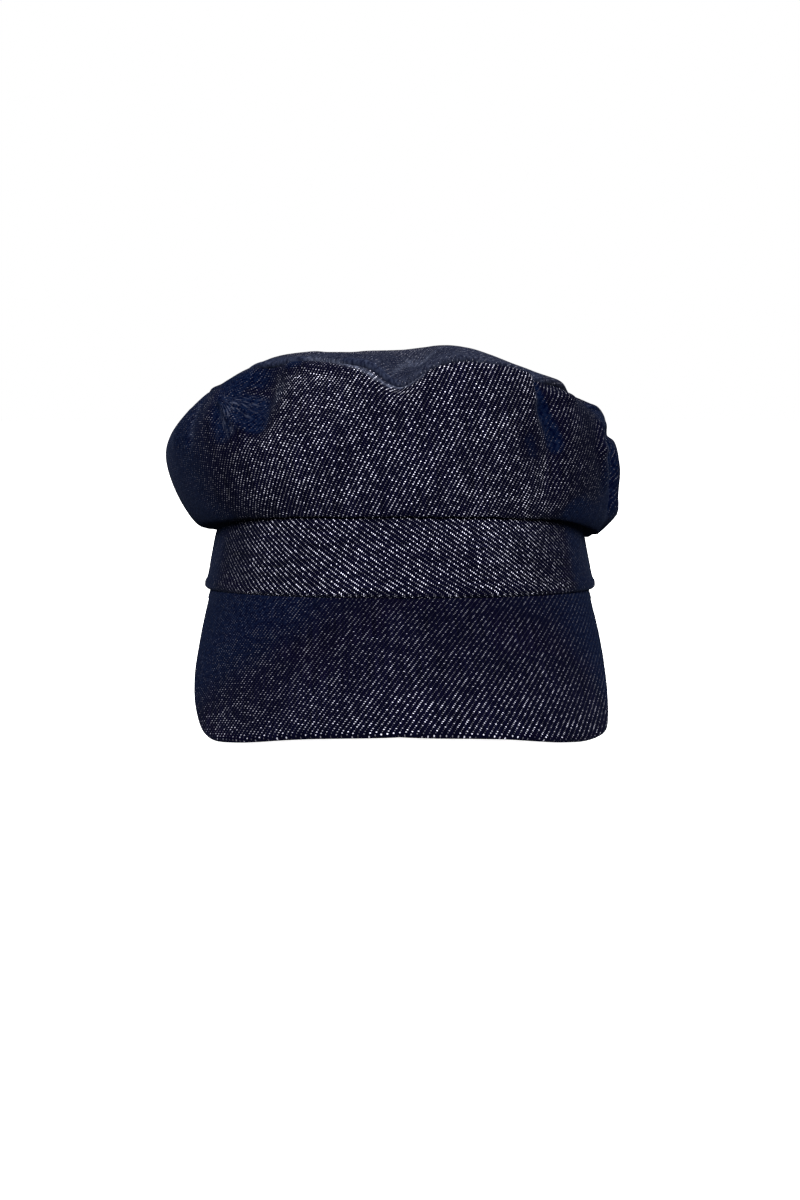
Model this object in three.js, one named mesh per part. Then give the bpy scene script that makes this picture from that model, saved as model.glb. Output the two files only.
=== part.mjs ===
// A soft denim cap, standing by itself on a flat surface.
// Pieces: crown_wall, crown_top, band and peak. Millimetres, +Z up, the front faces -Y.
//
// The cap is laid out in the frame of its rim: the origin is the middle of the band's
// lower edge, X to the side and Y to the back. At the end it is tipped back until it
// rests on the two front corners of the peak and on the back of the band.

import * as THREE from 'three';

// Band: a flared strip round the head, measured outside at its lower edge.
const bandHalfWidth = 84;
const bandHalfDepth = 98;
const bandHeight = 26.5;
const bandFlare = 5.6;
const bandWall = 2.6;
const bandRoll = 0.7;
const bandRollHeight = 3.2;
const bandSoftEdge = 1.2;

// Crown: cloth that leans out over the band and closes above it.
const crownOverhang = 20;
const crownRise = 73;
const crownWall = 1.8;
const crownTuck = 1.2;
const crownCentreBack = 8;

// The crest station lies between the brow and the middle of the top: its share of the way
// in, and its share of the rise. Past the crest, a fan of faces closes the last of the top.
const crestInwardShare = 0.5;
const crestRiseShare = 0.72;
const topFanShare = 0.65;

// Peak: a bent board covered in cloth, sloping down from the band's lower edge.
const peakReach = 51.5;
const peakSlope = 41;
const peakSpan = 64;
const peakWall = 2.8;
const peakInset = 1.1;

// Gap that sewn pieces keep, and how far the cloth gives where it stands on the surface.
const seamGap = 0.3;
const settle = 1;

// Steps of the meshes.
const frontSteps = 40;
const backSteps = 24;
const wallSteps = 10;
const topSteps = 9;
const peakSteps = 26;
const peakRows = 6;
const frontHalfTurn = 80;

// Small steps over which the slope of the cloth is measured, in degrees and stations.
const turnStep = 0.5;
const stationStep = 0.02;

// Sections of the crown, one row for each direction. turn is in degrees from the front,
// positive to +X. Out is how far a station lies outside the band's upper edge, as a share
// of crownOverhang; up is its height above that edge, as a share of crownRise.
const crownSections = [
  {
    turn: -150, lobeOut: 0.40, lobeUp: -0.01, bellyOut: 0.95, bellyUp: 0.37,
    shoulderOut: 0.40, shoulderUp: 0.64, browOut: -0.50, browUp: 0.78,
  },
  {
    turn: -110, lobeOut: 0.40, lobeUp: -0.01, bellyOut: 1.03, bellyUp: 0.38,
    shoulderOut: 0.36, shoulderUp: 0.64, browOut: -0.45, browUp: 0.765,
  },
  {
    turn: -80, lobeOut: 0.40, lobeUp: -0.01, bellyOut: 1.03, bellyUp: 0.40,
    shoulderOut: 0.22, shoulderUp: 0.67, browOut: -0.50, browUp: 0.775,
  },
  {
    turn: -50, lobeOut: 0.26, lobeUp: 0.00, bellyOut: 0.66, bellyUp: 0.41,
    shoulderOut: 0.00, shoulderUp: 0.735, browOut: -0.65, browUp: 0.81,
  },
  {
    turn: -25, lobeOut: 0.13, lobeUp: 0.035, bellyOut: 0.27, bellyUp: 0.34,
    shoulderOut: -0.34, shoulderUp: 0.715, browOut: -1.00, browUp: 0.775,
  },
  {
    turn: 0, lobeOut: 0.09, lobeUp: 0.04, bellyOut: 0.12, bellyUp: 0.30,
    shoulderOut: -0.05, shoulderUp: 0.63, browOut: -0.75, browUp: 0.73,
  },
  {
    turn: 25, lobeOut: 0.12, lobeUp: 0.035, bellyOut: 0.23, bellyUp: 0.33,
    shoulderOut: 0.06, shoulderUp: 0.685, browOut: -0.60, browUp: 0.76,
  },
  {
    turn: 50, lobeOut: 0.22, lobeUp: -0.015, bellyOut: 0.46, bellyUp: 0.33,
    shoulderOut: 0.20, shoulderUp: 0.62, browOut: -0.45, browUp: 0.705,
  },
  {
    turn: 80, lobeOut: 0.36, lobeUp: -0.07, bellyOut: 0.80, bellyUp: 0.25,
    shoulderOut: 0.50, shoulderUp: 0.545, browOut: -0.30, browUp: 0.665,
  },
  {
    turn: 110, lobeOut: 0.40, lobeUp: -0.04, bellyOut: 0.88, bellyUp: 0.29,
    shoulderOut: 0.50, shoulderUp: 0.58, browOut: -0.35, browUp: 0.71,
  },
  {
    turn: 150, lobeOut: 0.40, lobeUp: -0.02, bellyOut: 0.90, bellyUp: 0.34,
    shoulderOut: 0.45, shoulderUp: 0.62, browOut: -0.40, browUp: 0.77,
  },
  {
    turn: 180, lobeOut: 0.40, lobeUp: -0.01, bellyOut: 0.90, bellyUp: 0.37,
    shoulderOut: 0.45, shoulderUp: 0.63, browOut: -0.40, browUp: 0.78,
  },
];

// Stations of one section, from the band to the middle of the top.
const stationAt = { seat: 0, lip: 1, lobe: 2, belly: 3, shoulder: 4, brow: 5, crest: 6, apex: 7 };

// Folds and dents of the crown. Each runs from one place on the cloth to another, given by
// turn in degrees and station. width, inward (square to the cloth) and down are shares of
// crownOverhang; a negative value raises a ridge.
const crownFolds = [
  {
    name: 'dip at the front', fromTurn: 0, fromStation: 4.0, toTurn: 5, toStation: 5.2,
    width: 0.35, inward: 0, down: 0.28,
  },
  {
    name: 'ridge left of the dip', fromTurn: -24, fromStation: 4.8, toTurn: -7, toStation: 4.5,
    width: 0.3, inward: 0, down: -0.06,
  },
  {
    name: 'ridge right of the dip', fromTurn: 14, fromStation: 4.7, toTurn: 40, toStation: 6,
    width: 0.6, inward: 0, down: -0.08,
  },
  {
    name: 'dimple at the left', fromTurn: -36, fromStation: 3.62, toTurn: -37, toStation: 3.68,
    width: 0.38, inward: 0.3, down: 0,
  },
  {
    name: 'groove at the right', fromTurn: 37, fromStation: 2.6, toTurn: 38, toStation: 4.1,
    width: 0.3, inward: 0.12, down: 0,
  },
  {
    name: 'slot at the right side', fromTurn: 68, fromStation: 2.6, toTurn: 68, toStation: 3.6,
    width: 0.25, inward: 0.28, down: 0,
  },
];

// Outline of the peak: how far it reaches along its slope from the band at each direction,
// as a share of peakReach; turn is a share of peakSpan.
const peakOutline = [
  { turn: 0.00, reach: 1.00 },
  { turn: 0.30, reach: 1.04 },
  { turn: 0.55, reach: 1.13 },
  { turn: 0.68, reach: 1.16 },
  { turn: 0.78, reach: 1.11 },
  { turn: 0.86, reach: 0.94 },
  { turn: 0.94, reach: 0.60 },
  { turn: 1.00, reach: 0.10 },
];

const bandTopHalfWidth = bandHalfWidth - bandFlare;
const bandTopHalfDepth = bandHalfDepth - bandFlare;

function radians(degrees) {
  return THREE.MathUtils.degToRad(degrees);
}

// A place on an ellipse round the head: turn in degrees from the front.
function onEllipse(halfWidth, halfDepth, turn, height) {
  const angle = radians(turn);
  return new THREE.Vector3(halfWidth * Math.sin(angle), -halfDepth * Math.cos(angle), height);
}

// The one rule of a table between its rows: a smooth curve through them.
function alongTable(rows, key, value, at) {
  let index = 0;
  while (index < rows.length - 2 && rows[index + 1][key] < at) index += 1;
  const slope = (i) => {
    const before = rows[Math.max(i - 1, 0)];
    const after = rows[Math.min(i + 1, rows.length - 1)];
    return (after[value] - before[value]) / (after[key] - before[key]);
  };
  const low = rows[index];
  const high = rows[index + 1];
  const span = high[key] - low[key];
  const t = (at - low[key]) / span;
  const rise = high[value] - low[value];
  const startPull = slope(index) * span;
  const endPull = slope(index + 1) * span;
  return low[value] + startPull * t + (3 * rise - 2 * startPull - endPull) * t * t
    + (startPull + endPull - 2 * rise) * t * t * t;
}

// The crown's sections repeat round the head, so each row also stands a full turn away.
const crownTable = [
  ...crownSections.map((row) => ({ ...row, turn: row.turn - 360 })),
  ...crownSections,
  ...crownSections.map((row) => ({ ...row, turn: row.turn + 360 })),
];

const crownApex = new THREE.Vector3(0, crownCentreBack, bandHeight + crownRise);

function crownStation(name, turn) {
  if (name === 'seat') {
    return onEllipse(bandTopHalfWidth - crownTuck, bandTopHalfDepth - crownTuck, turn, bandHeight + seamGap);
  }
  if (name === 'lip') {
    const height = bandHeight - bandSoftEdge / 2;
    return onEllipse(bandTopHalfWidth + crownTuck, bandTopHalfDepth + crownTuck, turn, height);
  }
  if (name === 'crest') {
    const brow = crownStation('brow', turn);
    const crest = brow.clone().lerp(crownApex, crestInwardShare);
    crest.z = THREE.MathUtils.lerp(brow.z, crownApex.z, crestRiseShare);
    return crest;
  }
  if (name === 'apex') return crownApex.clone();
  const out = alongTable(crownTable, 'turn', `${name}Out`, turn) * crownOverhang;
  const up = alongTable(crownTable, 'turn', `${name}Up`, turn) * crownRise;
  return onEllipse(bandTopHalfWidth + out, bandTopHalfDepth + out, turn, bandHeight + up);
}

// One section of the crown as a curve from the band to the middle of the top and on to the
// other side, so that the top is smooth at its middle.
const sectionCurves = new Map();
function crownCurve(turn) {
  if (!sectionCurves.has(turn)) {
    const points = Object.keys(stationAt).map((name) => crownStation(name, turn));
    points.push(crownStation('crest', turn + 180));
    sectionCurves.set(turn, new THREE.CatmullRomCurve3(points));
  }
  return sectionCurves.get(turn);
}

function plainCrown(turn, station) {
  const spans = Object.keys(stationAt).length;
  return crownCurve(turn).getPoint(station / spans);
}

function plainNormal(turn, station) {
  const across = plainCrown(turn + turnStep, station).sub(plainCrown(turn - turnStep, station));
  const low = Math.max(station - stationStep, stationAt.seat);
  const along = plainCrown(turn, station + stationStep).sub(plainCrown(turn, low));
  if (station > stationAt.apex - stationStep) return new THREE.Vector3(0, 0, 1);
  return across.cross(along).normalize();
}

const foldLines = crownFolds.map((fold) => ({
  line: new THREE.Line3(
    plainCrown(fold.fromTurn, fold.fromStation),
    plainCrown(fold.toTurn, fold.toStation),
  ),
  width: fold.width * crownOverhang,
  inward: fold.inward * crownOverhang,
  down: fold.down * crownOverhang,
}));

// The crown's outer face: the plain form, moved along each fold.
function crownFace(turn, station) {
  const place = plainCrown(turn, station);
  const normal = plainNormal(turn, station);
  const nearest = new THREE.Vector3();
  const face = place.clone();
  for (const fold of foldLines) {
    fold.line.closestPointToPoint(place, true, nearest);
    const share = Math.exp(-((nearest.distanceTo(place) / fold.width) ** 2));
    face.addScaledVector(normal, -fold.inward * share);
    face.z -= fold.down * share;
  }
  return face;
}

// Square to the crown's outer face, with its folds.
function crownNormal(turn, station) {
  if (station === stationAt.apex) return new THREE.Vector3(0, 0, 1);
  const low = Math.max(station - stationStep, stationAt.seat);
  const across = crownFace(turn + turnStep, station).sub(crownFace(turn - turnStep, station));
  const along = crownFace(turn, station + stationStep).sub(crownFace(turn, low));
  return across.cross(along).normalize();
}

// The shoulder seam splits the crown: side is -1 at the wall's edge and 1 at the top's.
function seamStation(turn, side) {
  const reach = plainCrown(turn, stationAt.shoulder + side * stationStep)
    .distanceTo(plainCrown(turn, stationAt.shoulder));
  return stationAt.shoulder + side * stationStep * (seamGap / 2 / reach);
}

// Directions round the head, closer together at the front, where the folds are.
function turnList() {
  const turns = [];
  for (let i = 0; i < frontSteps; i += 1) {
    turns.push(-frontHalfTurn + (2 * frontHalfTurn * i) / frontSteps);
  }
  for (let i = 0; i < backSteps; i += 1) {
    turns.push(frontHalfTurn + ((360 - 2 * frontHalfTurn) * i) / backSteps);
  }
  return turns;
}

// Joins points and triangles into one closed body.
function bodyOf(points, triangles) {
  const geometry = new THREE.BufferGeometry();
  const numbers = points.flatMap((point) => point.toArray());
  geometry.setAttribute('position', new THREE.Float32BufferAttribute(numbers, 3));
  geometry.setIndex(triangles);
  return geometry;
}

// Faces between two rings of points, each given by the index of its first point.
function stripBetween(low, high, count) {
  const faces = [];
  for (let i = 0; i < count; i += 1) {
    const next = (i + 1) % count;
    faces.push(low + i, low + next, high + i);
    faces.push(low + next, high + next, high + i);
  }
  return faces;
}

// A ring of cloth between two edges: its outer face up one side, its inner face down the other.
function crownPanel(lowStation, highStation, steps) {
  const turns = turnList();
  const outer = [];
  const inner = [];
  for (let level = 0; level <= steps; level += 1) {
    for (const turn of turns) {
      const station = THREE.MathUtils.lerp(lowStation(turn), highStation(turn), level / steps);
      const place = crownFace(turn, station);
      outer.push(place);
      inner.push(place.clone().addScaledVector(crownNormal(turn, station), -crownWall));
    }
  }
  const count = turns.length;
  const faces = [];
  for (let level = 0; level < steps; level += 1) {
    const low = level * count;
    const high = low + count;
    faces.push(...stripBetween(low, high, count));
    faces.push(...stripBetween(outer.length + high, outer.length + low, count));
  }
  faces.push(...stripBetween(outer.length, 0, count));
  const lastOuter = steps * count;
  const lastInner = outer.length + lastOuter;
  return { points: [...outer, ...inner], faces, count, lastOuter, lastInner };
}

function crownWallGeometry() {
  const panel = crownPanel(() => stationAt.seat, (turn) => seamStation(turn, -1), wallSteps);
  panel.faces.push(...stripBetween(panel.lastOuter, panel.lastInner, panel.count));
  return bodyOf(panel.points, panel.faces);
}

function crownTopGeometry() {
  const fanStation = THREE.MathUtils.lerp(stationAt.crest, stationAt.apex, topFanShare);
  const panel = crownPanel((turn) => seamStation(turn, 1), () => fanStation, topSteps);
  const outerPole = panel.points.length;
  const innerPole = outerPole + 1;
  const pole = crownFace(0, stationAt.apex);
  panel.points.push(pole, pole.clone().setZ(pole.z - crownWall));
  for (let i = 0; i < panel.count; i += 1) {
    const next = (i + 1) % panel.count;
    panel.faces.push(panel.lastOuter + i, panel.lastOuter + next, outerPole);
    panel.faces.push(panel.lastInner + next, panel.lastInner + i, innerPole);
  }
  return bodyOf(panel.points, panel.faces);
}

// The band's wall in section, as in and up, going round it from the outer lower corner.
function bandSection() {
  const curl = bandWall / 3;
  return [
    { inward: 0, up: curl },
    { inward: 0, up: bandRollHeight },
    { inward: bandRoll, up: bandRollHeight + bandRoll },
    { inward: bandFlare / 2, up: bandHeight / 2 },
    { inward: bandFlare, up: bandHeight - bandSoftEdge },
    { inward: bandFlare + bandSoftEdge, up: bandHeight },
    { inward: bandFlare + bandWall, up: bandHeight },
    { inward: bandFlare / 2 + bandWall, up: bandHeight / 2 },
    { inward: bandRoll + bandWall, up: bandRollHeight },
    { inward: bandWall, up: curl },
    { inward: bandWall - curl, up: 0 },
    { inward: curl, up: 0 },
  ];
}

function bandGeometry() {
  const turns = turnList();
  const rings = bandSection().map(({ inward, up }) => (
    turns.map((turn) => onEllipse(bandHalfWidth - inward, bandHalfDepth - inward, turn, up))
  ));
  const faces = [];
  rings.forEach((ring, level) => {
    const next = (level + 1) % rings.length;
    faces.push(...stripBetween(level * turns.length, next * turns.length, turns.length));
  });
  return bodyOf(rings.flat(), faces);
}

// The peak is the band's outline carried forward along its slope.
const peakDirection = new THREE.Vector3(0, -1, 0).applyAxisAngle(
  new THREE.Vector3(1, 0, 0),
  radians(peakSlope),
);

function peakFace(turn, along) {
  const root = onEllipse(bandHalfWidth - peakInset, bandHalfDepth - peakInset, turn, -seamGap);
  return root.addScaledVector(peakDirection, along);
}

function peakNormal(turn) {
  const across = peakFace(turn + 1, 0).sub(peakFace(turn - 1, 0));
  return peakDirection.clone().cross(across).normalize();
}

function peakGeometry() {
  const outer = [];
  const inner = [];
  for (let i = 0; i <= peakSteps; i += 1) {
    const share = Math.sin((Math.PI / 2) * ((2 * i) / peakSteps - 1));
    const turn = share * peakSpan;
    const reach = alongTable(peakOutline, 'turn', 'reach', Math.abs(share)) * peakReach;
    const normal = peakNormal(turn);
    for (let j = 0; j <= peakRows; j += 1) {
      const place = peakFace(turn, (reach * j) / peakRows);
      outer.push(place);
      const under = place.clone().addScaledVector(normal, -peakWall);
      under.z = Math.min(under.z, -seamGap);
      inner.push(under);
    }
  }
  const columns = peakRows + 1;
  const under = outer.length;
  const faces = [];
  const quad = (a, b, c, d) => faces.push(a, b, c, a, c, d);
  for (let i = 0; i < peakSteps; i += 1) {
    for (let j = 0; j < peakRows; j += 1) {
      const here = i * columns + j;
      quad(here, here + 1, here + columns + 1, here + columns);
      quad(under + here + columns, under + here + columns + 1, under + here + 1, under + here);
    }
    const root = i * columns;
    const edge = root + peakRows;
    quad(root + columns, under + root + columns, under + root, root);
    quad(edge, under + edge, under + edge + columns, edge + columns);
  }
  for (let j = 0; j < peakRows; j += 1) {
    const last = peakSteps * columns + j;
    quad(j + 1, j, under + j, under + j + 1);
    quad(last, last + 1, under + last + 1, under + last);
  }
  return bodyOf([...outer, ...inner], faces);
}

const denim = { color: 0x1b2140, roughness: 0.95, metalness: 0 };

const pieces = {
  crown_wall: crownWallGeometry(),
  crown_top: crownTopGeometry(),
  band: bandGeometry(),
  peak: peakGeometry(),
};

// How far the cap tips back before the peak and the back of the band stand on one level.
function restTilt() {
  const backEdge = new THREE.Vector3(0, bandHalfDepth - bandWall / 2, 0);
  const points = pieces.peak.getAttribute('position');
  const place = new THREE.Vector3();
  let tilt = 0;
  for (let i = 0; i < points.count; i += 1) {
    place.fromBufferAttribute(points, i).sub(backEdge);
    tilt = Math.max(tilt, Math.atan2(-place.z, -place.y));
  }
  return tilt;
}

// Stands the cap on the surface with its middle over the origin. Cloth below the surface
// is pressed flat against it.
function standOnSurface() {
  const tip = new THREE.Matrix4().makeRotationX(-restTilt());
  const extent = new THREE.Box3();
  for (const geometry of Object.values(pieces)) {
    geometry.applyMatrix4(tip);
    geometry.computeBoundingBox();
    extent.union(geometry.boundingBox);
  }
  const middle = extent.getCenter(new THREE.Vector3());
  for (const geometry of Object.values(pieces)) {
    geometry.translate(-middle.x, -middle.y, -extent.min.z - settle);
    const points = geometry.getAttribute('position');
    for (let i = 0; i < points.count; i += 1) {
      points.setZ(i, Math.max(points.getZ(i), 0));
    }
  }
}

standOnSurface();

const cap = new THREE.Group();
for (const [name, geometry] of Object.entries(pieces)) {
  const mesh = new THREE.Mesh(geometry, new THREE.MeshStandardMaterial(denim));
  mesh.name = name;
  cap.add(mesh);
}

export default cap;
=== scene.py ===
# %% [markdown]
# # A soft denim cap
# The cap is sewn from raw dark denim: a puffed crown wall, a crown top, a flared band and
# a stiff, steep peak with rounded corners. It stands by itself, tipped back on the two
# front corners of the peak and on the back of its band.
#
# The frame that is loaded here holds the plain solids at their real size. Each of the
# four is replaced by a finer piece of the same form, so nothing has to be fitted.

import math

import bmesh
import bpy
import numpy as np
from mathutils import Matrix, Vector


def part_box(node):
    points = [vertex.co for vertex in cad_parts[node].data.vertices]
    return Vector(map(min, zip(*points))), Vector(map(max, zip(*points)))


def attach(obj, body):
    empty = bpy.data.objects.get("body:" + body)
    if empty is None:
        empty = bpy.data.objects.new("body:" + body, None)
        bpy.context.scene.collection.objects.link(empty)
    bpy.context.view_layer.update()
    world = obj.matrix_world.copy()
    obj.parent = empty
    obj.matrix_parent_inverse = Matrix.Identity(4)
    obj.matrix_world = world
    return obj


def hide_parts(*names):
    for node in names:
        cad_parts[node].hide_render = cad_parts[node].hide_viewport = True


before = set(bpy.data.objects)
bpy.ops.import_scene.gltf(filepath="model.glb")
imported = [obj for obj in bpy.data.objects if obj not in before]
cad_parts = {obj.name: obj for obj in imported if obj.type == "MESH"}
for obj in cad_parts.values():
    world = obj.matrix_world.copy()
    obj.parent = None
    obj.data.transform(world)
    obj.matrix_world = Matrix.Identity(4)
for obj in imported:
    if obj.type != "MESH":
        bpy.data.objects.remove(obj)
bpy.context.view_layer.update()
print("solids:", sorted(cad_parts))

# %% [markdown]
# ## Sizes
# The sizes are those of the pattern that the solids were made from, in metres. They are
# given in the frame of the rim: its origin is the middle of the band's lower edge, X goes
# to the side and Y to the back. A direction round the head is a turn in degrees from the
# front, positive to +X. Writing the same sizes again is safer than measuring the solids,
# because the solids are coarse and the cloth here is fine.

# %% Sizes of the pieces
MM = 0.001
UP = np.array([0.0, 0.0, 1.0])

BAND_HALF_WIDTH = 84 * MM
BAND_HALF_DEPTH = 98 * MM
BAND_HEIGHT = 26.5 * MM
BAND_FLARE = 5.6 * MM
BAND_WALL = 2.6 * MM
BAND_ROLL = 0.7 * MM
BAND_ROLL_HEIGHT = 3.2 * MM
BAND_SOFT_EDGE = 1.2 * MM
BAND_TOP_HALF_WIDTH = BAND_HALF_WIDTH - BAND_FLARE
BAND_TOP_HALF_DEPTH = BAND_HALF_DEPTH - BAND_FLARE

CROWN_OVERHANG = 20 * MM
CROWN_RISE = 73 * MM
CROWN_WALL = 1.8 * MM
CROWN_TUCK = 1.2 * MM
CROWN_CENTRE_BACK = 8 * MM
CREST_INWARD = 0.5
CREST_RISE = 0.72

PEAK_REACH = 51.5 * MM
PEAK_SLOPE = math.radians(41)
PEAK_SPAN = 64
PEAK_WALL = 2.8 * MM
PEAK_INSET = 1.1 * MM

SEAM_GAP = 0.3 * MM
SETTLE = 1 * MM
print(f"band: {2 * BAND_HALF_WIDTH * 1000:.0f} x {2 * BAND_HALF_DEPTH * 1000:.0f} mm outside")

# %% [markdown]
# ## Tables and curves
# The crown's form comes from a short table of sections. Between two rows a cubic curve
# runs through both, and along one section a centripetal Catmull-Rom curve joins its
# stations, because it doesn't overshoot where stations lie close together. Both work on
# whole arrays at once, so that a fine mesh takes no time.


# %% Curves through the rows of a table
def on_ellipse(half_width, half_depth, turn, height):
    angle = np.radians(turn)
    x = half_width * np.sin(angle)
    y = -half_depth * np.cos(angle)
    return np.stack([x, y, height + 0 * x], axis=-1)


def along_table(keys, values, at):
    slopes = np.empty_like(values)
    slopes[1:-1] = (values[2:] - values[:-2]) / (keys[2:] - keys[:-2])
    slopes[0] = (values[1] - values[0]) / (keys[1] - keys[0])
    slopes[-1] = (values[-1] - values[-2]) / (keys[-1] - keys[-2])
    low = np.clip(np.searchsorted(keys, at) - 1, 0, len(keys) - 2)
    span = keys[low + 1] - keys[low]
    t = (at - keys[low]) / span
    rise = values[low + 1] - values[low]
    start = slopes[low] * span
    end = slopes[low + 1] * span
    return values[low] + start * t + (3 * rise - 2 * start - end) * t**2 + (start + end - 2 * rise) * t**3


def catmull_rom(before, start, end, after, t):
    def pull(a, b):
        return np.sqrt(np.linalg.norm(b - a, axis=-1, keepdims=True))

    first, middle, last = pull(before, start), pull(start, end), pull(end, after)
    leave = (start - before) / first - (end - before) / (first + middle) + (end - start) / middle
    arrive = (end - start) / middle - (after - start) / (middle + last) + (after - end) / last
    leave = leave * middle
    arrive = arrive * middle
    rise = end - start
    return start + leave * t + (3 * rise - 2 * leave - arrive) * t**2 + (leave + arrive - 2 * rise) * t**3


# %% [markdown]
# ## The crown's form
# The crown is one closed surface, given by a turn round the head and a station up its
# section: 0 is where it is sewn into the band, 4 the shoulder seam and 7 the middle of
# the top. Each row of the table says how far four stations lean out over the band and
# how high they stand, as shares of the overhang and the rise. A single lathe would be
# shorter, but a soft crown slumps differently in every direction.

# %% Sections of the crown
CROWN_COLUMNS = (
    "turn", "lobe_out", "lobe_up", "belly_out", "belly_up",
    "shoulder_out", "shoulder_up", "brow_out", "brow_up",
)
CROWN_SECTIONS = np.array([
    (-150, 0.40, -0.010, 0.95, 0.37, 0.40, 0.640, -0.50, 0.780),
    (-110, 0.40, -0.010, 1.03, 0.38, 0.36, 0.640, -0.45, 0.765),
    (-80, 0.40, -0.010, 1.03, 0.40, 0.22, 0.670, -0.50, 0.775),
    (-50, 0.26, 0.000, 0.66, 0.41, 0.00, 0.735, -0.65, 0.810),
    (-25, 0.13, 0.035, 0.27, 0.34, -0.34, 0.715, -1.00, 0.775),
    (0, 0.09, 0.040, 0.12, 0.30, -0.05, 0.630, -0.75, 0.730),
    (25, 0.12, 0.035, 0.23, 0.33, 0.06, 0.685, -0.60, 0.760),
    (50, 0.22, -0.015, 0.46, 0.33, 0.20, 0.620, -0.45, 0.705),
    (80, 0.36, -0.070, 0.80, 0.25, 0.50, 0.545, -0.30, 0.665),
    (110, 0.40, -0.040, 0.88, 0.29, 0.50, 0.580, -0.35, 0.710),
    (150, 0.40, -0.020, 0.90, 0.34, 0.45, 0.620, -0.40, 0.770),
    (180, 0.40, -0.010, 0.90, 0.37, 0.45, 0.630, -0.40, 0.780),
])
FULL_TURN = 360
SEAT, LIP, LOBE, BELLY, SHOULDER, BROW, CREST, APEX = range(8)
APEX_PLACE = np.array([0, CROWN_CENTRE_BACK, BAND_HEIGHT + CROWN_RISE])


def one_turn_on(rows, turns):
    moved = rows.copy()
    moved[:, 0] += turns * FULL_TURN
    return moved


CROWN_TABLE = np.concatenate([one_turn_on(CROWN_SECTIONS, turns) for turns in (-1, 0, 1)])


def leaning_station(name, turn):
    def share(column):
        values = CROWN_TABLE[:, CROWN_COLUMNS.index(column)]
        return along_table(CROWN_TABLE[:, 0], values, turn)

    out = share(name + "_out") * CROWN_OVERHANG
    height = BAND_HEIGHT + share(name + "_up") * CROWN_RISE
    return on_ellipse(BAND_TOP_HALF_WIDTH + out, BAND_TOP_HALF_DEPTH + out, turn, height)


def crest_station(turn):
    brow = leaning_station("brow", turn)
    crest = brow + (APEX_PLACE - brow) * CREST_INWARD
    crest[..., 2] = brow[..., 2] + (APEX_PLACE[2] - brow[..., 2]) * CREST_RISE
    return crest


def crown_stations(turn):
    inside = (BAND_TOP_HALF_WIDTH - CROWN_TUCK, BAND_TOP_HALF_DEPTH - CROWN_TUCK)
    outside = (BAND_TOP_HALF_WIDTH + CROWN_TUCK, BAND_TOP_HALF_DEPTH + CROWN_TUCK)
    return np.stack([
        on_ellipse(*inside, turn, BAND_HEIGHT + SEAM_GAP),
        on_ellipse(*outside, turn, BAND_HEIGHT - BAND_SOFT_EDGE / 2),
        leaning_station("lobe", turn),
        leaning_station("belly", turn),
        leaning_station("shoulder", turn),
        leaning_station("brow", turn),
        crest_station(turn),
        np.broadcast_to(APEX_PLACE, turn.shape + (3,)),
        crest_station(turn + FULL_TURN / 2),
    ])


def plain_crown(turn, station):
    turn, station = np.broadcast_arrays(np.asarray(turn, float), np.asarray(station, float))
    rows = crown_stations(turn)
    before_first = 2 * rows[0] - rows[1]
    after_last = 2 * rows[-1] - rows[-2]
    rows = np.concatenate([before_first[None], rows, after_last[None]])
    index = np.clip(np.floor(station).astype(int), SEAT, APEX)
    around = [np.take_along_axis(rows, (index + k)[None, ..., None], axis=0)[0] for k in range(4)]
    return catmull_rom(*around, (station - index)[..., None])


print("the crown's top stands", round(float(APEX_PLACE[2]) * 1000), "mm above the rim")

# %% [markdown]
# ## Dents and folds
# The cloth has a dip in its front edge, a dimple at the left, grooves at the right and
# many soft creases between them. Each is a line on the cloth with a width and a depth.
# Points near the line move square to the cloth, and the effect fades like a bell curve.
# A cloth simulation would wrinkle too, but not in the places that this crown has.

# %% The large folds, shared with the solids
TURN_STEP = 0.5
STATION_STEP = 0.02

# from turn, from station, to turn, to station, width, inward, down: shares of the overhang
LARGE_FOLDS = {
    "dip at the front": (0, 4.0, 5, 5.2, 0.35, 0, 0.28),
    "ridge left of the dip": (-24, 4.8, -7, 4.5, 0.3, 0, -0.06),
    "ridge right of the dip": (14, 4.7, 40, 6, 0.6, 0, -0.08),
    "dimple at the left": (-36, 3.62, -37, 3.68, 0.38, 0.3, 0),
    "groove at the right": (37, 2.6, 38, 4.1, 0.3, 0.12, 0),
    "slot at the right side": (68, 2.6, 68, 3.6, 0.25, 0.28, 0),
}


def normal_of(face, turn, station):
    across = face(turn + TURN_STEP, station) - face(turn - TURN_STEP, station)
    low = np.maximum(station - STATION_STEP, SEAT)
    along = face(turn, station + STATION_STEP) - face(turn, low)
    square = np.cross(across, along)
    size = np.linalg.norm(square, axis=-1, keepdims=True)
    square = square / np.maximum(size, 1e-15)
    at_top = np.broadcast_to(station > APEX - STATION_STEP, square.shape[:-1])
    return np.where(at_top[..., None], UP, square)


def distance_to_line(places, start, end):
    line = end - start
    share = np.clip(((places - start) @ line) / (line @ line), 0, 1)
    return np.linalg.norm(places - start - share[..., None] * line, axis=-1)


def folded(places, normals, folds):
    moved = places.copy()
    for from_turn, from_station, to_turn, to_station, width, inward, down in folds.values():
        start = plain_crown(from_turn, from_station)
        end = plain_crown(to_turn, to_station)
        distance = distance_to_line(places, start, end)
        share = np.exp(-((distance / (width * CROWN_OVERHANG)) ** 2))[..., None]
        moved -= normals * share * inward * CROWN_OVERHANG
        moved -= UP * share * down * CROWN_OVERHANG
    return moved


def crown_face(turn, station):
    places = plain_crown(turn, station)
    normals = normal_of(plain_crown, turn, station)
    return folded(places, normals, LARGE_FOLDS)


print(len(LARGE_FOLDS), "large folds")

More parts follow.
